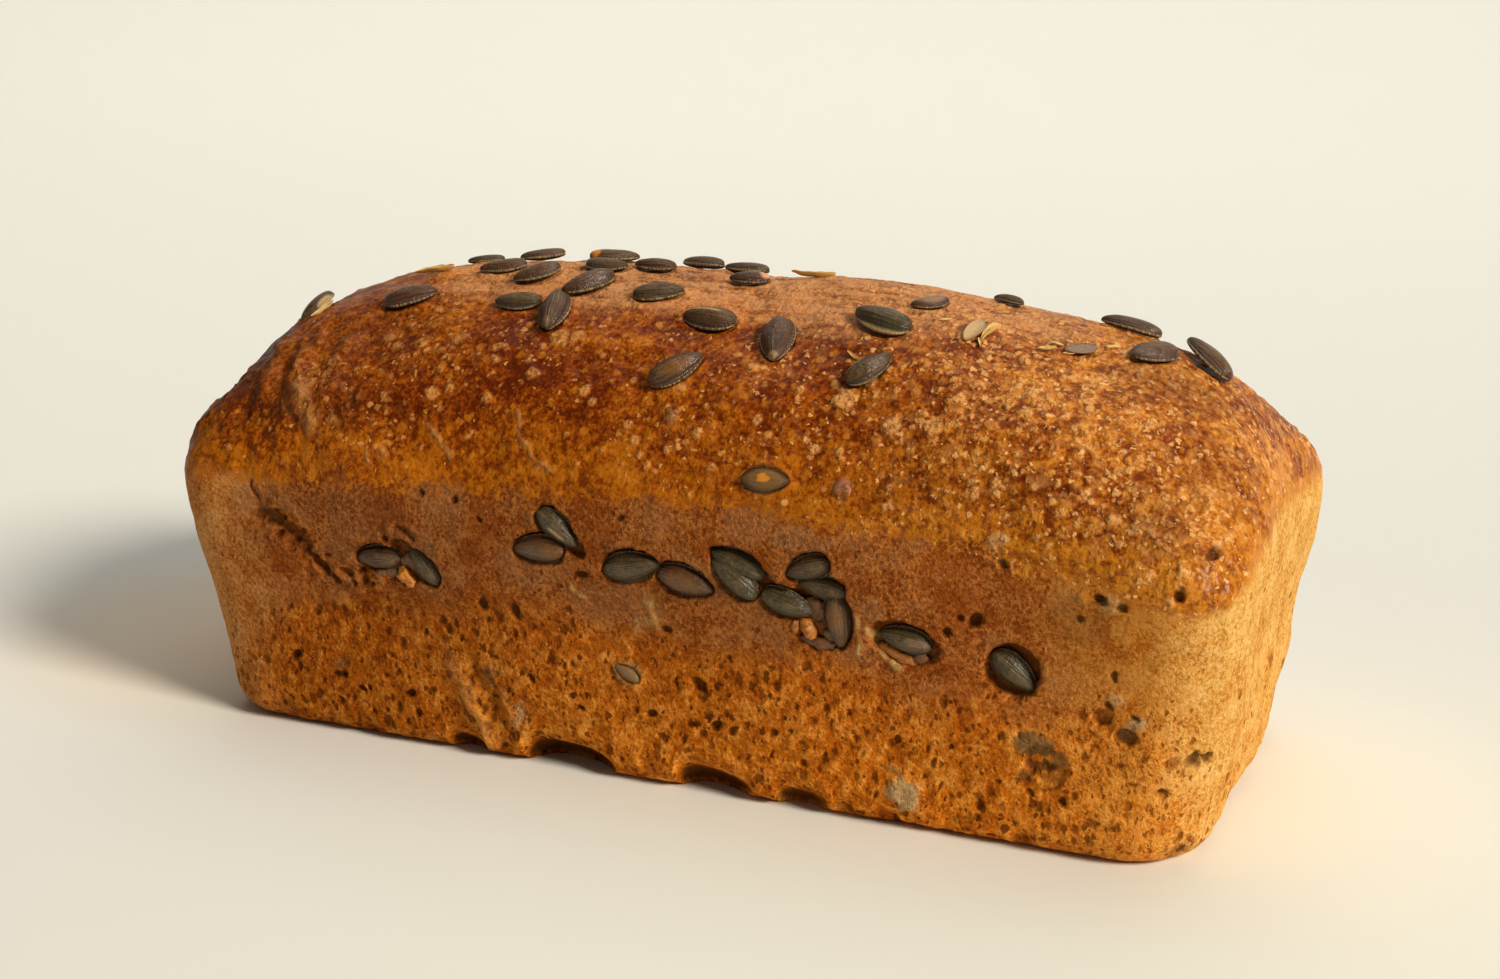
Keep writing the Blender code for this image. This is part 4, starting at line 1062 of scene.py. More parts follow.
def crustGround(tree):
    # What the crust's colours are made from: the place, the same with a waver for ragged spots, the
    # way along and up the loaf in metres, the masks, two grains, a cloud, and the matt side's spots.
    place = objectPlace(tree)
    ground = SimpleNamespace(place=place, **{name: attribute(tree, name) for name in crustMasks})
    along, _, up = addNode(tree, "ShaderNodeSeparateXYZ", {0: place}).outputs
    ground.along, ground.up, ground.toRight = along, up, stretch(along, -0.05, 0.12)
    drift = noise(place, 750.0, 1.0, "Color")
    for operation, amount in (("SUBTRACT", 0.5), ("MULTIPLY", 0.0017)):
        drift = addNode(tree, "ShaderNodeVectorMath", {0: drift, 1: (amount,) * 3}, operation=operation)
        drift = drift.outputs[0]
    ground.uneven = addNode(tree, "ShaderNodeVectorMath", {0: place, 1: drift}).outputs[0]
    ground.mottle, ground.fine = grain(place, 2.6, 0.45), grain(place, 1.0, 0.5)
    ground.cloud = noise(place, 75.0, 4.0)
    ground.points = spots(ground.uneven, crustFinish["points"], 0.45)
    ground.stains = spots(ground.uneven, crustFinish["stains"], stretch(ground.cloud, 0.62, 0.42, 0.30, 0.95))
    return ground


def domeSkin(ground):
    # The glossy dome: amber tones with russet spots, a golden belt over the line, mealy patches, pale
    # blobs and dots that crowd to the right, and a pale wash on the crest that is partly dusty dough and
    # partly painted sheen. Gives colour and height.
    finish, fine, mottle, uneven = crustFinish, ground.fine, ground.mottle, ground.uneven
    belt = stretch(ground.overLine, 20.0, 4.0)
    tone = total(product(mottle, 0.70), product(fine, 0.30),
                 product(centred(noise(ground.place, 45.0, 2.0)), 0.45))
    # Darker where the dome is baked darker, lighter in places partly as painted sheen.
    tone = total(tone, product(centred(belt), 0.07), product(ground.shift, 0.15))
    colour = ramp(tone, finish["domeTones"])
    colour = blend(product(belt, stretch(mottle, 0.40, 0.58, 0.1, 0.7)), colour, finish["beltGold"])
    ambers = spots(uneven, finish["amberSpots"], 0.42)["Mask"]
    colour = blend(product(ambers, 0.65), colour, finish["amber"])
    russets = spots(uneven, finish["russetSpots"], 0.50)["Mask"]
    colour = blend(product(russets, stretch(belt, 0.0, 1.0, 0.60, 0.35)), colour, finish["russet"])
    colour = blend(stretch(ground.along, 0.03, 0.10), colour, finish["rightDome"], "MULTIPLY")

    pale = blend(ground.toRight, finish["blobLeft"], finish["blobRight"])
    mealy = noise(ground.place, 320.0, 2.0)
    darkMeal = product(ground.crowd, stretch(mealy, 0.50, 0.34, 0.0, 0.60))
    paleMeal = product(ground.crowd, stretch(mealy, 0.48, 0.68, 0.0, 0.35))
    colour = blend(darkMeal, colour, finish["russet"])
    colour = blend(paleMeal, colour, blend(0.4, pale, finish["amber"]))
    blobs = spots(uneven, finish["blobs"], product(ground.crowd, 0.85))
    dots = spots(uneven, finish["dots"], total(product(ground.crowd, 0.58), 0.10))
    raised = product(ground.blister, stretch(fine, 0.36, 0.60, 0.30, 0.95))
    colour = blend(product(raised, 0.85), colour, blend(0.25, pale, finish["amber"]))
    colour = blend(someOf(blobs, 0.15, 0.80), colour, pale)
    colour = blend(someOf(dots, 0.25, 0.90), colour, pale)

    # On the crest a pale wash in streaks: partly dust, partly painted sheen.
    streaks = noise(mapped(ground.place, (0.22, 1.0, 1.0)), 420.0, 3.0)
    dustySheen = stretch(total(product(streaks, 0.6), product(fine, 0.4)), 0.37, 0.57, 0.13, 0.74)
    colour = blend(product(stretch(ground.crest, 0.22, 0.95), dustySheen), colour, finish["dustAndSheen"])
    height = total(product(blobs["Height"], finish["blobHeight"]),
                   product(dots["Height"], finish["dotHeight"]),
                   product(ground.crowd, stretch(mealy, 0.35, 0.65), finish["mealHeight"]))
    return colour, height


def bandSkin(ground):
    # The matt band under the line: clouds of tan and rust, pale points and russet stains.
    finish = crustFinish
    colour = ramp(total(product(ground.fine, 0.8), product(ground.mottle, 0.2)), finish["bandTones"])
    colour = blend(stretch(ground.cloud, 0.46, 0.64, 0.0, 0.40), colour, finish["ashTan"])
    colour = blend(stretch(ground.cloud, 0.50, 0.36, 0.0, 0.60), colour, finish["rust"])
    colour = blend(someOf(ground.points, 0.1, 0.6), colour, finish["palePoint"])
    return blend(someOf(ground.stains, 0.3, 0.95), colour, finish["russet"])


def porousSkin(ground):
    # Open dough low on the side, paler towards the foot and darker at the far left.
    finish = crustFinish
    crumb = total(product(ground.fine, 0.40), product(ground.mottle, 0.30), product(ground.crumb, 0.30))
    colour = ramp(crumb, finish["porousTones"])
    colour = blend(stretch(ground.up, 0.042, 0.006), colour, finish["lowSide"], "MULTIPLY")
    colour = blend(stretch(ground.along, -0.01, -0.11), colour, finish["farLeft"], "MULTIPLY")
    return blend(product(someOf(ground.points, 0.1, 0.6), 0.9), colour, finish["paleCrumb"])


def endSkin(ground):
    # Paler skin on the ends and round the corners, drawn out upright, with freckles at the right.
    finish = crustFinish
    upright = noise(mapped(ground.place, (1.0, 1.0, 0.16)), 520.0, 3.0)
    tone = total(product(ground.fine, 0.62), product(upright, 0.10), product(ground.cloud, 0.28))
    nearEnd = stretch(ground.along, 0.139, 0.118, 0.15, 0.80)
    freckles = product(ground.stains["Mask"], nearEnd, stretch(ground.cloud, 0.66, 0.42))
    colour = blend(freckles, ramp(tone, finish["skinTones"]), finish["freckle"])
    colour = blend(someOf(ground.points, 0.1, 0.7), colour, finish["paleSkin"])
    corner = product(stretch(ground.along, 0.137, 0.117), stretch(ground.along, -0.05, 0.05))
    colour = blend(corner, colour, finish["rightCorner"], "MULTIPLY")
    return blend(stretch(ground.along, 0.05, -0.05), colour, finish["leftEnd"], "MULTIPLY")


def sideSkin(ground):
    # The whole side: band, open dough and end skin by their masks, with holes and pores in them,
    # darkened inside as painted shade. Gives colour and depth.
    finish = crustFinish
    slanted = mapped(ground.uneven, (1.0, 1.0, 0.6), (0.0, 0.34, 0.0))
    holes = spots(slanted, finish["holes"], product(ground.porous, 0.60))
    pores = spots(slanted, finish["pores"], total(product(ground.porous, 0.85), 0.06))
    colour = blend(ground.porous, bandSkin(ground), porousSkin(ground))
    colour = blend(ground.toRight, colour, finish["rightSide"], "MULTIPLY")
    turned = product(ground.turned, 0.85)
    colour = blend(turned, colour, endSkin(ground))
    # Painted shade: pits, holes and pores are darkened inside.
    opened = total(product(ground.pit, 0.7), someOf(holes, 0.40, 0.90), someOf(pores, 0.30, 0.90))
    inside = blend(turned, finish["poreShade"], finish["skinPoreShade"])
    colour = blend(combine("MINIMUM", opened, 0.92), colour, inside)
    depth = total(product(holes["Height"], finish["holeDepth"]),
                  product(pores["Height"], finish["poreDepth"]))
    return colour, depth


def crustMaterial():
    # Baked crust: the dome over the side, with a wavering line between them, and the single marks.
    finish = crustFinish
    material, tree, shader = newMaterial("bakedCrust")
    ground = crustGround(tree)
    fine, mottle = ground.fine, ground.mottle
    dome, domeHeights = domeSkin(ground)
    side, sideDepth = sideSkin(ground)
    waver = total(product(centred(fine), 9.0), product(centred(mottle), 12.0))
    glaze = stretch(total(ground.overLine, waver), -1.5, 1.7)
    colour = blend(glaze, side, dome)
    patch = addNode(tree, "ShaderNodeAttribute", attribute_name="patch").outputs
    mottled = blend(0.55, patch["Color"], finish["darkMark"])
    mottled = blend(stretch(fine, 0.36, 0.60, 0.75, 0.0), patch["Color"], mottled)
    colour = blend(patch["Alpha"], colour, mottled)
    # Pale cracks, and on ridges and lump tops partly painted highlight.
    colour = blend(ground.pale, colour, finish["paleLine"])
    # Painted shade in holes, furrows, dips of torn crust and under the front edge.
    colour = blend(ground.dark, colour, finish["darkMark"])
    # Painted shade in the pockets and in the hollows under the front edge.
    colour = blend(product(ground.hollow, 0.75), colour, finish["hollow"])
    tree.links.new(colour, shader.inputs["Base Color"])

    rough = stretch(glaze, 0.0, 1.0, finish["sideRoughness"], finish["domeRoughness"])
    coat = product(glaze, finish["coat"], stretch(ground.hollow, 0.6, 0.1))
    tree.links.new(total(rough, stretch(fine, 0.35, 0.65, -0.08, 0.10)), shader.inputs["Roughness"])
    tree.links.new(coat, shader.inputs["Coat Weight"])
    shader.inputs["Coat Roughness"].default_value = finish["coatRoughness"]
    shader.inputs["Specular IOR Level"].default_value = finish["gloss"]
    height = total(product(fine, stretch(glaze, 0.0, 1.0, finish["sideGrain"], finish["domeGrain"])),
                   product(mottle, finish["mottleHeight"]), product(domeHeights, glaze),
                   product(sideDepth, combine("SUBTRACT", 1.0, glaze), -1.0))
    addBump(tree, shader, 0.8, metres, height)
    return material


seedFinish = {   # linear colours
    "green": (0.060, 0.046, 0.015), "brown": (0.095, 0.037, 0.010), "violet": (0.080, 0.034, 0.018),
    # The bloom colour is partly painted highlight on the crown; the underside colour is painted shade.
    "rim": (0.42, 0.29, 0.13), "vein": (0.014, 0.007, 0.003), "bloomAndHighlight": (0.19, 0.117, 0.046),
    "undersideShade": (0.035, 0.017, 0.007), "roughness": (0.26, 0.44), "gloss": 0.5, "bump": 0.0005,
}


def seedMaterial():
    # Pumpkin seed skin: grey-green to brown by the seed, with fine lengthwise veins, a bloom down the
    # middle that is partly painted highlight on the crown, crosswise teeth by the edge, a thin pale rim
    # and painted shade on the lower half.
    finish = seedFinish
    material, tree, shader = newMaterial("seedSkin")
    along, across, upside, tint = (attribute(tree, name) for name in ("along", "across", "upside", "tint"))

    def streaks(lengthwise, crosswise):
        parts = {0: product(along, lengthwise), 1: product(across, crosswise), 2: product(tint, 40.0)}
        return noise(addNode(tree, "ShaderNodeCombineXYZ", parts).outputs[0], 1.5, 3.0)

    veins, teeth = streaks(1.2, 6.0), streaks(26.0, 1.5)
    cloud = grain(objectPlace(tree), 2.4, 0.6)
    edge = combine("ABSOLUTE", across)
    nearRim = stretch(edge, 0.62, 0.93)
    colour = ramp(tint, ((0.1, finish["green"]), (0.55, finish["brown"]), (0.95, finish["violet"])))
    # Partly painted highlight: lighter down the middle of the crown.
    middle = product(stretch(edge, 0.75, 0.05), stretch(along, 0.05, 0.45, 0.5, 1.0))
    colour = blend(product(middle, stretch(cloud, 0.40, 0.62, 0.04, 0.70)), colour, finish["bloomAndHighlight"])
    colour = blend(stretch(veins, 0.54, 0.36, 0.0, 0.6), colour, finish["vein"])
    colour = blend(product(nearRim, stretch(teeth, 0.55, 0.40, 0.0, 0.7)), colour, finish["vein"])
    rim = product(stretch(edge, 0.94, 0.98), stretch(teeth, 0.42, 0.60, 0.12, 0.85))
    colour = blend(rim, colour, finish["rim"])
    # Painted shade on the lower half of the seed.
    colour = blend(stretch(upside, 0.46, 0.30), colour, finish["undersideShade"])
    patch = addNode(tree, "ShaderNodeAttribute", attribute_name="patch").outputs
    colour = blend(patch["Alpha"], colour, patch["Color"])
    tree.links.new(colour, shader.inputs["Base Color"])
    tree.links.new(stretch(cloud, 0.35, 0.65, *finish["roughness"]), shader.inputs["Roughness"])
    shader.inputs["Specular IOR Level"].default_value = finish["gloss"]
    addBump(tree, shader, 0.8, finish["bump"], total(veins, product(cloud, 0.8), product(teeth, nearRim)))
    return material


huskFinish = {   # linear colours
    "pale": (0.78, 0.55, 0.24), "yellow": (0.74, 0.47, 0.11), "brown": (0.42, 0.22, 0.06), "roughness": 0.55,
}


def huskMaterial():
    # Papery husk: pale to yellow by the flake, browner in spots.
    finish = huskFinish
    material, tree, shader = newMaterial("seedHusk")
    colour = blend(attribute(tree, "tint"), finish["pale"], finish["yellow"])
    browned = stretch(grain(objectPlace(tree), 1.6, 0.4), 0.5, 0.7, 0.0, 0.7)
    tree.links.new(blend(browned, colour, finish["brown"]), shader.inputs["Base Color"])
    shader.inputs["Roughness"].default_value = finish["roughness"]
    return material


doughFinish = {   # linear colours
    "orange": (0.56, 0.185, 0.013), "brown": (0.15, 0.050, 0.008), "grey": (0.15, 0.070, 0.018),
    "roughness": 0.5, "bump": 0.0006,
}


def doughMaterial():
    # Moist dough in the pockets: orange to brown to greyish by the lump, darker in its dips.
    finish = doughFinish
    material, tree, shader = newMaterial("pocketDough")
    tone = grain(objectPlace(tree), 1.4, 0.4)
    stops = ((0.0, finish["orange"]), (0.5, finish["brown"]), (1.0, finish["grey"]))
    colour = ramp(attribute(tree, "tint"), stops)
    colour = blend(stretch(tone, 0.5, 0.36, 0.0, 0.6), colour, crustFinish["darkMark"])
    tree.links.new(colour, shader.inputs["Base Color"])
    shader.inputs["Roughness"].default_value = finish["roughness"]
    addBump(tree, shader, 0.7, finish["bump"], tone)
    return material


def makeCrust(material):
    # The whole crust is worked out as one grid and cut into pieces. Each piece is closed by a fan
    # to a point inside the loaf.
    grid = crustGrid
    points = loafGrid()
    points += gridNormals(points) * softRelief(points)[..., None]
    normals = gridNormals(points).reshape(-1, 3)
    flat = points.reshape(-1, 3)
    height, fields = markCrust(flat)
    print("crust relief worked out")
    colour = patchColour(flat)
    moved = flat + normals * (height * smooth(0.0, 1.0, flat[:, 2]))[:, None]
    lift = hollowLift(flat)
    moved[:, 2] += lift * np.clip(1.0 - moved[:, 2] / crustRelief["hollowFade"], 0.0, 1.0)
    # Painted shade on the back walls of the hollows under the front edge.
    underEdge = smooth(0.4, 2.0, lift) * smooth(2.0, 0.0, flat[:, 2])
    fields["hollow"] = np.maximum(fields["hollow"], underEdge)
    fields["dark"] = np.maximum(fields["dark"], 0.85 * underEdge)
    low, high = boxLow + boxMargin, boxHigh - boxMargin
    moved = np.clip(moved, low, high)
    shown = gridNormals(moved.reshape(points.shape)).reshape(-1, 3)
    columns, rows = points.shape[:2]
    sideStart, domeStart = grid["baseRows"], grid["baseRows"] + grid["sideRows"]
    half, end = grid["frontColumns"] // 2, grid["frontColumns"]

    def cut(name, firstColumn, lastColumn, firstRow, lastRow):
        column = np.arange(firstColumn, lastColumn + 1) % columns
        row = np.arange(firstRow, lastRow + 1)
        index = (column[:, None] * rows + row).ravel()
        local = np.arange(len(index)).reshape(len(column), len(row))
        # A fan of quads with a doubled corner closes the piece, and welding makes triangles of them.
        rim = np.concatenate([local[:, 0], local[-1, 1:], local[-2::-1, -1], local[0, -2:0:-1]])
        apex = np.full_like(rim, len(index))
        fan = np.stack([np.roll(rim, -1), rim, apex, apex], axis=-1)
        inner = np.array(grid["middle"]) + grid["innerShare"] * (moved[index].mean(axis=0) - grid["middle"])
        allPoints = np.concatenate([moved[index], inner[None]])
        allNormals = np.concatenate([shown[index], [[0.0, 0.0, 1.0]]])
        allColour = np.concatenate([colour[index], np.zeros((1, 4))])
        first, quads, triangles = welded(allPoints, np.concatenate([gridQuads(local), fan]))
        kept = {key: np.append(values[index], 0.0)[first] for key, values in fields.items()}
        newPiece(name, allPoints[first], quads, triangles, material,
                 allNormals[first], kept, allColour[first])

    cut("crust_front_left_side", 0, half, sideStart, domeStart)
    cut("crust_front_right_side", half, end, sideStart, domeStart)
    cut("crust_front_left_dome", 0, half, domeStart, rows - 1)
    cut("crust_front_right_dome", half, end, domeStart, rows - 1)
    cut("crust_far_side", end, columns, sideStart, domeStart)
    cut("crust_far_dome", end, columns, domeStart, rows - 1)

    # The base is flat inside its innermost ring, which a fan fills, and another fan closes it inside.
    local = np.arange(columns * (sideStart + 1)).reshape(columns, sideStart + 1)
    index = (np.arange(columns)[:, None] * rows + np.arange(sideStart + 1)).ravel()
    after = np.roll(local, -1, axis=0)
    quads = np.stack([local[:, :-1], after[:, :-1], after[:, 1:], local[:, 1:]], axis=-1).reshape(-1, 4)
    flatFan = np.stack([after[:, 0], local[:, 0], np.full(columns, len(index))], axis=-1)
    innerFan = np.stack([local[:, -1], after[:, -1], np.full(columns, len(index) + 1)], axis=-1)
    allPoints = np.concatenate([moved[index], [[0.0, 0.0, low[2]], [0.0, 0.0, 30.0]]])
    allNormals = np.concatenate([shown[index], [[0.0, 0.0, -1.0], [0.0, 0.0, 1.0]]])
    kept = {key: np.append(values[index], [values[index[0]], 0.0]) for key, values in fields.items()}
    allColour = np.concatenate([colour[index], np.zeros((2, 4))])
    fans = np.concatenate([flatFan, innerFan])
    newPiece("crust_base", allPoints, quads, fans, material, allNormals, kept, allColour)


def tipped(points, degrees):
    # Lifts a seed's tip by turning it about its middle.
    turn = np.radians(degrees)
    x = points[:, 0] * np.cos(turn) - points[:, 2] * np.sin(turn)
    z = points[:, 0] * np.sin(turn) + points[:, 2] * np.cos(turn)
    return np.stack([x, points[:, 1], z], axis=-1)


def joinParts(parts):
    # Adds up the points, faces, attributes and colours of several closed shapes.
    points, quads, triangles, fields, colours = zip(*parts)
    starts = np.cumsum([0] + [len(part) for part in points])
    quads = np.concatenate([part + start for part, start in zip(quads, starts)])
    triangles = np.concatenate([part + start for part, start in zip(triangles, starts)])
    joined = {key: np.concatenate([field[key] for field in fields]) for key in fields[0]}
    return np.concatenate(points), quads, triangles, joined, np.concatenate(colours)


seedMarkTints = {   # linear colours
    "orange": (0.72, 0.26, 0.020), "pink": (0.74, 0.36, 0.19), "yellow": (0.70, 0.42, 0.09),
    "cream": (0.62, 0.42, 0.20), "film": (0.34, 0.20, 0.12), "chestnut": (0.22, 0.085, 0.014),
    "tan": (0.26, 0.145, 0.048), "goldSkin": (0.22, 0.110, 0.018),
}


def markedSkin(fields, number, marks):
    # Colour and strength of the marks on one seed: each fades out round its place on the seed.
    colour = np.zeros((len(fields["along"]), 4))
    for index, along, across, reachAlong, reachAcross, tint, strength in marks:
        if index != number:
            continue
        away = np.hypot((fields["along"] - along) / reachAlong, (fields["across"] - across) / reachAcross)
        share = strength * smooth(1.15, 0.75, away) * (fields["upside"] > 0.3)
        keep = (share < colour[:, 3])[:, None]
        colour[:, :3] = np.where(keep, colour[:, :3], seedMarkTints[tint])
        colour[:, 3] = np.maximum(share, colour[:, 3])
    return colour


def seedPart(shape, quads, fields, tint, colour, axes, heading):
    # One closed shape, welded at its poles and laid on the crust.
    fields["tint"] = np.full(len(shape), tint)
    first, quads, triangles = welded(shape, quads)
    fields = {key: values[first] for key, values in fields.items()}
    return laid(axes, heading, shape[first]), quads, triangles, fields, colour[first]


def seedParts(rows, onFront, marks):
    # One closed shape for each seed, a little different in width, thickness and bend.
    parts = []
    for number, row in enumerate(rows):
        if not onFront and number in (brokenSeed, filmSeed):
            continue
        first, second, heading, length = row[:4]
        rng = np.random.default_rng(1000 * onFront + number)
        width = seedForm["width"] * rng.uniform(0.92, 1.06)
        thickness, bend = rng.uniform(*seedForm["thickness"]), rng.uniform(-0.03, 0.03)
        shape, quads, fields = seedSurface(length, width, thickness, seedForm["under"], bend)
        shape[:, 2] += 0.010 * length * waves(shape, (4.0, 2.0, 3.0), number) * (1 - fields["across"] ** 2)
        if onFront:
            shape = shape - (0.0, 0.0, row[4])
        else:
            shape = tipped(shape, row[5]) + (0.0, 0.0, row[4])
        colour, axes = markedSkin(fields, number, marks), crustFrame(first, second, onFront)
        parts.append(seedPart(shape, quads, fields, row[-1], colour, axes, heading))
    return parts


# Husk and skin on the dome: x, y, heading, length, width, height over the crust, bend, curl, tint.
huskFlakes = (
    (-86, -5, 8, 11.5, 2.6, 0.9, 0.02, 0.10, 0.9), (17, 4, 6, 11.5, 2.2, 0.8, 0.05, 0.10, 0.8),
    (83.5, -17, 20, 4.2, 1.4, 0.6, 0.06, 0.12, 0.9), (85.0, -14.5, -12, 3.4, 0.9, 0.6, 0.05, 0.10, 0.7),
    (88.5, -16.4, 25, 3.0, 0.9, 0.5, 0.03, 0.10, 0.8), (97, -9.0, 40, 3.6, 1.2, 0.5, 0.06, 0.10, 0.5),
    (69.6, -16.5, 70, 8.0, 1.3, 0.9, -0.10, 0.22, 0.4),
    (68.5, -21.0, 110, 4.0, 1.0, 0.7, -0.10, 0.20, 0.3),
    (41.5, -31, 150, 5.5, 0.8, 0.4, 0.14, 0.15, 0.3), (58, -15, 20, 3.0, 0.8, 0.4, 0.05, 0.10, 0.4),
    (-113, -17.5, 70, 8.0, 3.0, 0.6, 0.05, 0.08, 0.2),
)

# Broken seeds on the dome: x, y, heading, length, width, height, bend, curl, tint, mark, its strength.
brokenSeeds = (
    (66.3, -18, 74, 9.0, 4.2, 0.9, 0.02, 0.16, 0.5, "cream", 0.92),
    (90.5, -13.6, 37, 8.2, 4.6, 0.4, 0.03, 0.05, 0.4, "film", 0.72),
)

# Lumps of dough in the pockets: x, z, half length, half height, tilt, depth of the middle, rise, tint.
doughLumps = (
    (-67.4, 46.9, 3.6, 1.9, -38, 1.2, 1.6, 0.0), (-72.0, 47.6, 3.6, 1.5, -5, 1.6, 1.2, 0.9),
    (-66.8, 51.5, 2.6, 2.6, 0, 2.6, 1.2, 0.7), (-75.0, 47.5, 1.6, 1.2, 0, 0.6, 0.9, 0.8),
    (39.6, 48.6, 1.9, 2.4, 30, 1.0, 1.5, 0.0), (36.4, 49.0, 1.2, 2.0, 0, 1.0, 1.2, 0.2),
    (42.5, 45.6, 4.6, 1.8, -8, 1.0, 1.2, 0.6), (45.0, 48.0, 1.8, 1.8, 0, 1.4, 1.2, 1.0),
    (41.2, 54.0, 2.6, 3.0, 0, 2.4, 1.2, 0.6), (33.0, 60.0, 3.4, 1.6, -20, 2.4, 1.2, 0.55),
    (62.0, 44.8, 5.6, 1.4, -24, 1.4, 1.2, 0.15), (66.5, 45.0, 2.0, 1.6, 20, 1.5, 1.0, 0.5),
)


def lumpSurface(halfLength, halfHeight, riseHalf, salt):
    # An uneven ball: directions on a sphere times three half sizes, each moved out or in by noise.
    turn = np.linspace(0.0, 2 * np.pi, 28, endpoint=False)
    tilt = np.linspace(-np.pi / 2, np.pi / 2, 17)
    tilt, turn = np.meshgrid(tilt, turn, indexing="ij")
    ball = np.stack([np.cos(turn) * np.cos(tilt), np.sin(turn) * np.cos(tilt), np.sin(tilt)], axis=-1)
    ball = ball.reshape(-1, 3) * (halfLength, halfHeight, riseHalf)
    return ball * (1.0 + 0.30 * layered(ball, 1.6, 2, salt))[:, None], ringQuads(turn.shape)


def makeSeeds(material):
    # All whole seeds of the dome as one piece, those of the front side as another, and the broken ones.
    kinds = (("seeds_on_top", topSeeds + farSeeds(), False, topSeedMarks),
             ("seeds_in_side", frontSeeds, True, frontSeedMarks))
    for name, rows, onFront, marks in kinds:
        points, quads, triangles, fields, colour = joinParts(seedParts(rows, onFront, marks))
        newPiece(name, points, quads, triangles, material, fields=fields, colour=colour)
    parts = []
    for x, y, heading, length, width, height, bend, curl, tint, mark, strength in brokenSeeds:
        shape, quads, fields = seedSurface(length, width / length, 0.05, 1.0, bend, curl)
        colour = np.tile((*seedMarkTints[mark], strength), (len(shape), 1))
        shape = shape + (0.0, 0.0, height)
        parts.append(seedPart(shape, quads, fields, tint, colour, crustFrame(x, y, False), heading))
    points, quads, triangles, fields, colour = joinParts(parts)
    newPiece("broken_seeds", points, quads, triangles, material, fields=fields, colour=colour)


def makeHusks(material):
    # Husk flakes: thin curled seed shapes, made uneven by noise.
    parts = []
    for number, (x, y, heading, length, width, height, bend, curl, tint) in enumerate(huskFlakes):
        shape, quads, fields = seedSurface(length, width / length, 0.25 / length, 1.0, bend, curl)
        shape[:, 2] += height + 0.25 * waves(shape, 1.6, 200 + number)
        plain = np.zeros((len(shape), 4))
        parts.append(seedPart(shape, quads, fields, tint, plain, crustFrame(x, y, False), heading))
    points, quads, triangles, fields, _ = joinParts(parts)
    newPiece("husk_flakes", points, quads, triangles, material, fields={"tint": fields["tint"]})


def makeDough(material):
    # Lumps of dough, each sunk in its pocket.
    parts = []
    for number, (x, z, halfLength, halfHeight, tilt, sunk, riseHalf, tint) in enumerate(doughLumps):
        shape, quads = lumpSurface(halfLength, halfHeight, riseHalf, 300 + number)
        plain = np.zeros((len(shape), 4))
        parts.append(seedPart(shape - (0.0, 0.0, sunk), quads, {}, tint, plain, crustFrame(x, z, True), tilt))
    points, quads, triangles, fields, _ = joinParts(parts)
    newPiece("dough_in_pockets", points, quads, triangles, material, fields=fields)


studio = {   # metres, degrees and linear colours
    "cameraPlace": (0.2240, -0.5266, 0.2343), "azimuth": 22.9, "elevation": 16.7, "lens": 55.7,
    "floorColour": (0.805, 0.830, 0.820),
    # Painted light on the paper: a brighter pool in front of the loaf and to its right, and a warm
    # painted bounce in its shade on the left. Place, outer and inner reach, what the colour is multiplied by.
    "paintedPaperLight": (((0.12, -0.12, 0.0), 0.32, 0.06, (1.10, 1.11, 1.06)),
                  ((-0.165, 0.0, 0.0), 0.09, 0.02, (1.0, 0.87, 0.75))),
    "backdropY": 1.6, "backdropBend": 0.7, "backdropTop": 2.2,
    "floorHalf": 3.0, "floorNear": -2.0, "backdropGlow": 0.065, "glowColour": (0.95, 0.94, 0.87),
    "keyAim": (1.9, -0.62, 1.30), "keySpread": 17.0, "keyStrength": 3.55, "keyColour": (1.0, 0.89, 0.74),
    "fillPlace": (-0.05, 0.5, 1.6), "fillSize": 1.6, "fillPower": 8.0, "fillColour": (1.0, 0.95, 0.86),
    "skyColour": (1.0, 0.95, 0.82), "skyStrength": 0.085,
}


def placed(holder, right, up, back, place):
    # Turns a camera or lamp to three axes, moves it to its place and links it to the scene.
    rows = [[*axes, spot] for axes, spot in zip(zip(right, up, back), place)]
    holder.matrix_world = Matrix(rows + [[0, 0, 0, 1]])
    bpy.context.scene.collection.objects.link(holder)


def makeCamera():
    camera = bpy.data.cameras.new("camera")
    camera.lens = studio["lens"]
    camera.sensor_width = 36.0
    camera.clip_start = 0.01
    holder = bpy.data.objects.new("camera", camera)
    turn, tilt = np.radians(studio["azimuth"]), np.radians(studio["elevation"])
    back = (np.sin(turn) * np.cos(tilt), -np.cos(turn) * np.cos(tilt), np.sin(tilt))
    right = (np.cos(turn), np.sin(turn), 0.0)
    placed(holder, right, np.cross(back, right), back, studio["cameraPlace"])
    bpy.context.scene.camera = holder


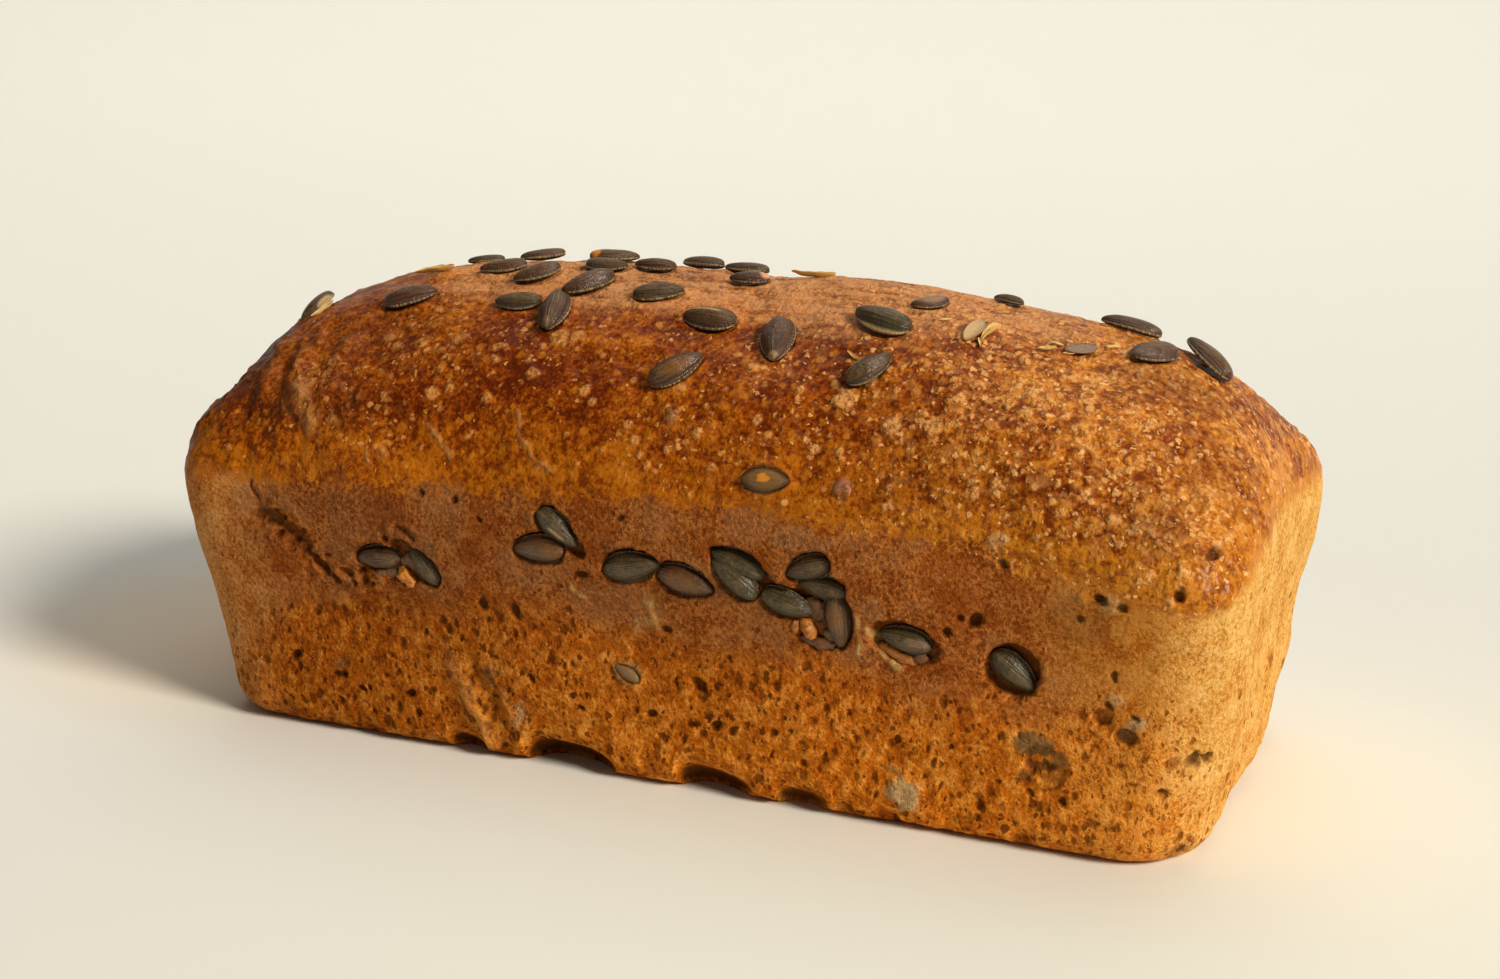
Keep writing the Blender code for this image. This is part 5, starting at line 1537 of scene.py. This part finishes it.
def makeFloor():
    # A floor that bends up into a backdrop: flat, a quarter circle, and upright.
    bend, back = studio["backdropBend"], studio["backdropY"]
    turn = np.linspace(0.0, np.pi / 2, 25)
    y = np.concatenate([[studio["floorNear"]], back - bend + bend * np.sin(turn), [back]])
    z = np.concatenate([[0.0], bend * (1 - np.cos(turn)), [studio["backdropTop"]]])
    x = np.array([-studio["floorHalf"], studio["floorHalf"]])
    points = np.stack(np.broadcast_arrays(x[:, None], y, z), axis=-1)
    mesh = bpy.data.meshes.new("floor")
    quads = gridQuads(np.arange(2 * len(y)).reshape(2, len(y)))
    mesh.from_pydata(points.reshape(-1, 3).tolist(), [], quads.tolist())
    mesh.shade_smooth()
    floor = bpy.data.objects.new("floor", mesh)
    material, tree, shader = newMaterial("creamPaper")
    shader.inputs["Roughness"].default_value = 0.8
    shader.inputs["Specular IOR Level"].default_value = 0.2
    # Painted light on the paper: brighter in front of the loaf and to its right, and warmer in its
    # shade on the left, standing in for light bounced off the crust.
    place, paper = objectPlace(tree), studio["floorColour"]
    for spot, far, close, tint in studio["paintedPaperLight"]:
        gap = addNode(tree, "ShaderNodeVectorMath", {0: place, 1: spot}, operation="DISTANCE")
        paper = blend(stretch(gap.outputs["Value"], far, close), paper, tint, "MULTIPLY")
    tree.links.new(paper, shader.inputs["Base Color"])
    # Painted light: the backdrop glows as if lit from outside the view, more so the farther back and
    # to the left it is.
    along, away, _ = addNode(tree, "ShaderNodeSeparateXYZ", {0: place}).outputs
    glow = product(stretch(away, -0.3, 1.5, 0.0, studio["backdropGlow"]), stretch(along, 0.4, -1.0))
    tree.links.new(glow, shader.inputs["Emission Strength"])
    shader.inputs["Emission Color"].default_value = (*studio["glowColour"], 1.0)
    mesh.materials.append(material)
    bpy.context.scene.collection.objects.link(floor)


def aimed(holder, place):
    # Puts a lamp at a place so that it shines towards the origin.
    back = place / np.linalg.norm(place)
    side = np.cross((0.0, 1.0, 0.001), back)
    side /= np.linalg.norm(side)
    placed(holder, side, np.cross(back, side), back, place)


def makeLight():
    # A warm sun from the right and a little in front, a soft fill from above and behind, and a dim sky.
    sun = bpy.data.lights.new("key", "SUN")
    sun.angle = np.radians(studio["keySpread"])
    sun.energy = studio["keyStrength"]
    sun.color = studio["keyColour"]
    aimed(bpy.data.objects.new("key", sun), studio["keyAim"])
    fill = bpy.data.lights.new("fill", "AREA")
    fill.shape = "DISK"
    fill.size = studio["fillSize"]
    fill.energy = studio["fillPower"]
    fill.color = studio["fillColour"]
    aimed(bpy.data.objects.new("fill", fill), studio["fillPlace"])
    world = bpy.data.worlds.new("studio")
    world.use_nodes = True
    background = world.node_tree.nodes["Background"]
    background.inputs["Color"].default_value = (*studio["skyColour"], 1.0)
    background.inputs["Strength"].default_value = studio["skyStrength"]
    bpy.context.scene.world = world
    bpy.context.scene.view_settings.view_transform = "Standard"


makeCamera()
makeFloor()
makeLight()
print("camera, floor and light set")
makeCrust(crustMaterial())
makeSeeds(seedMaterial())
makeHusks(huskMaterial())
makeDough(doughMaterial())
bpy.context.view_layer.update()
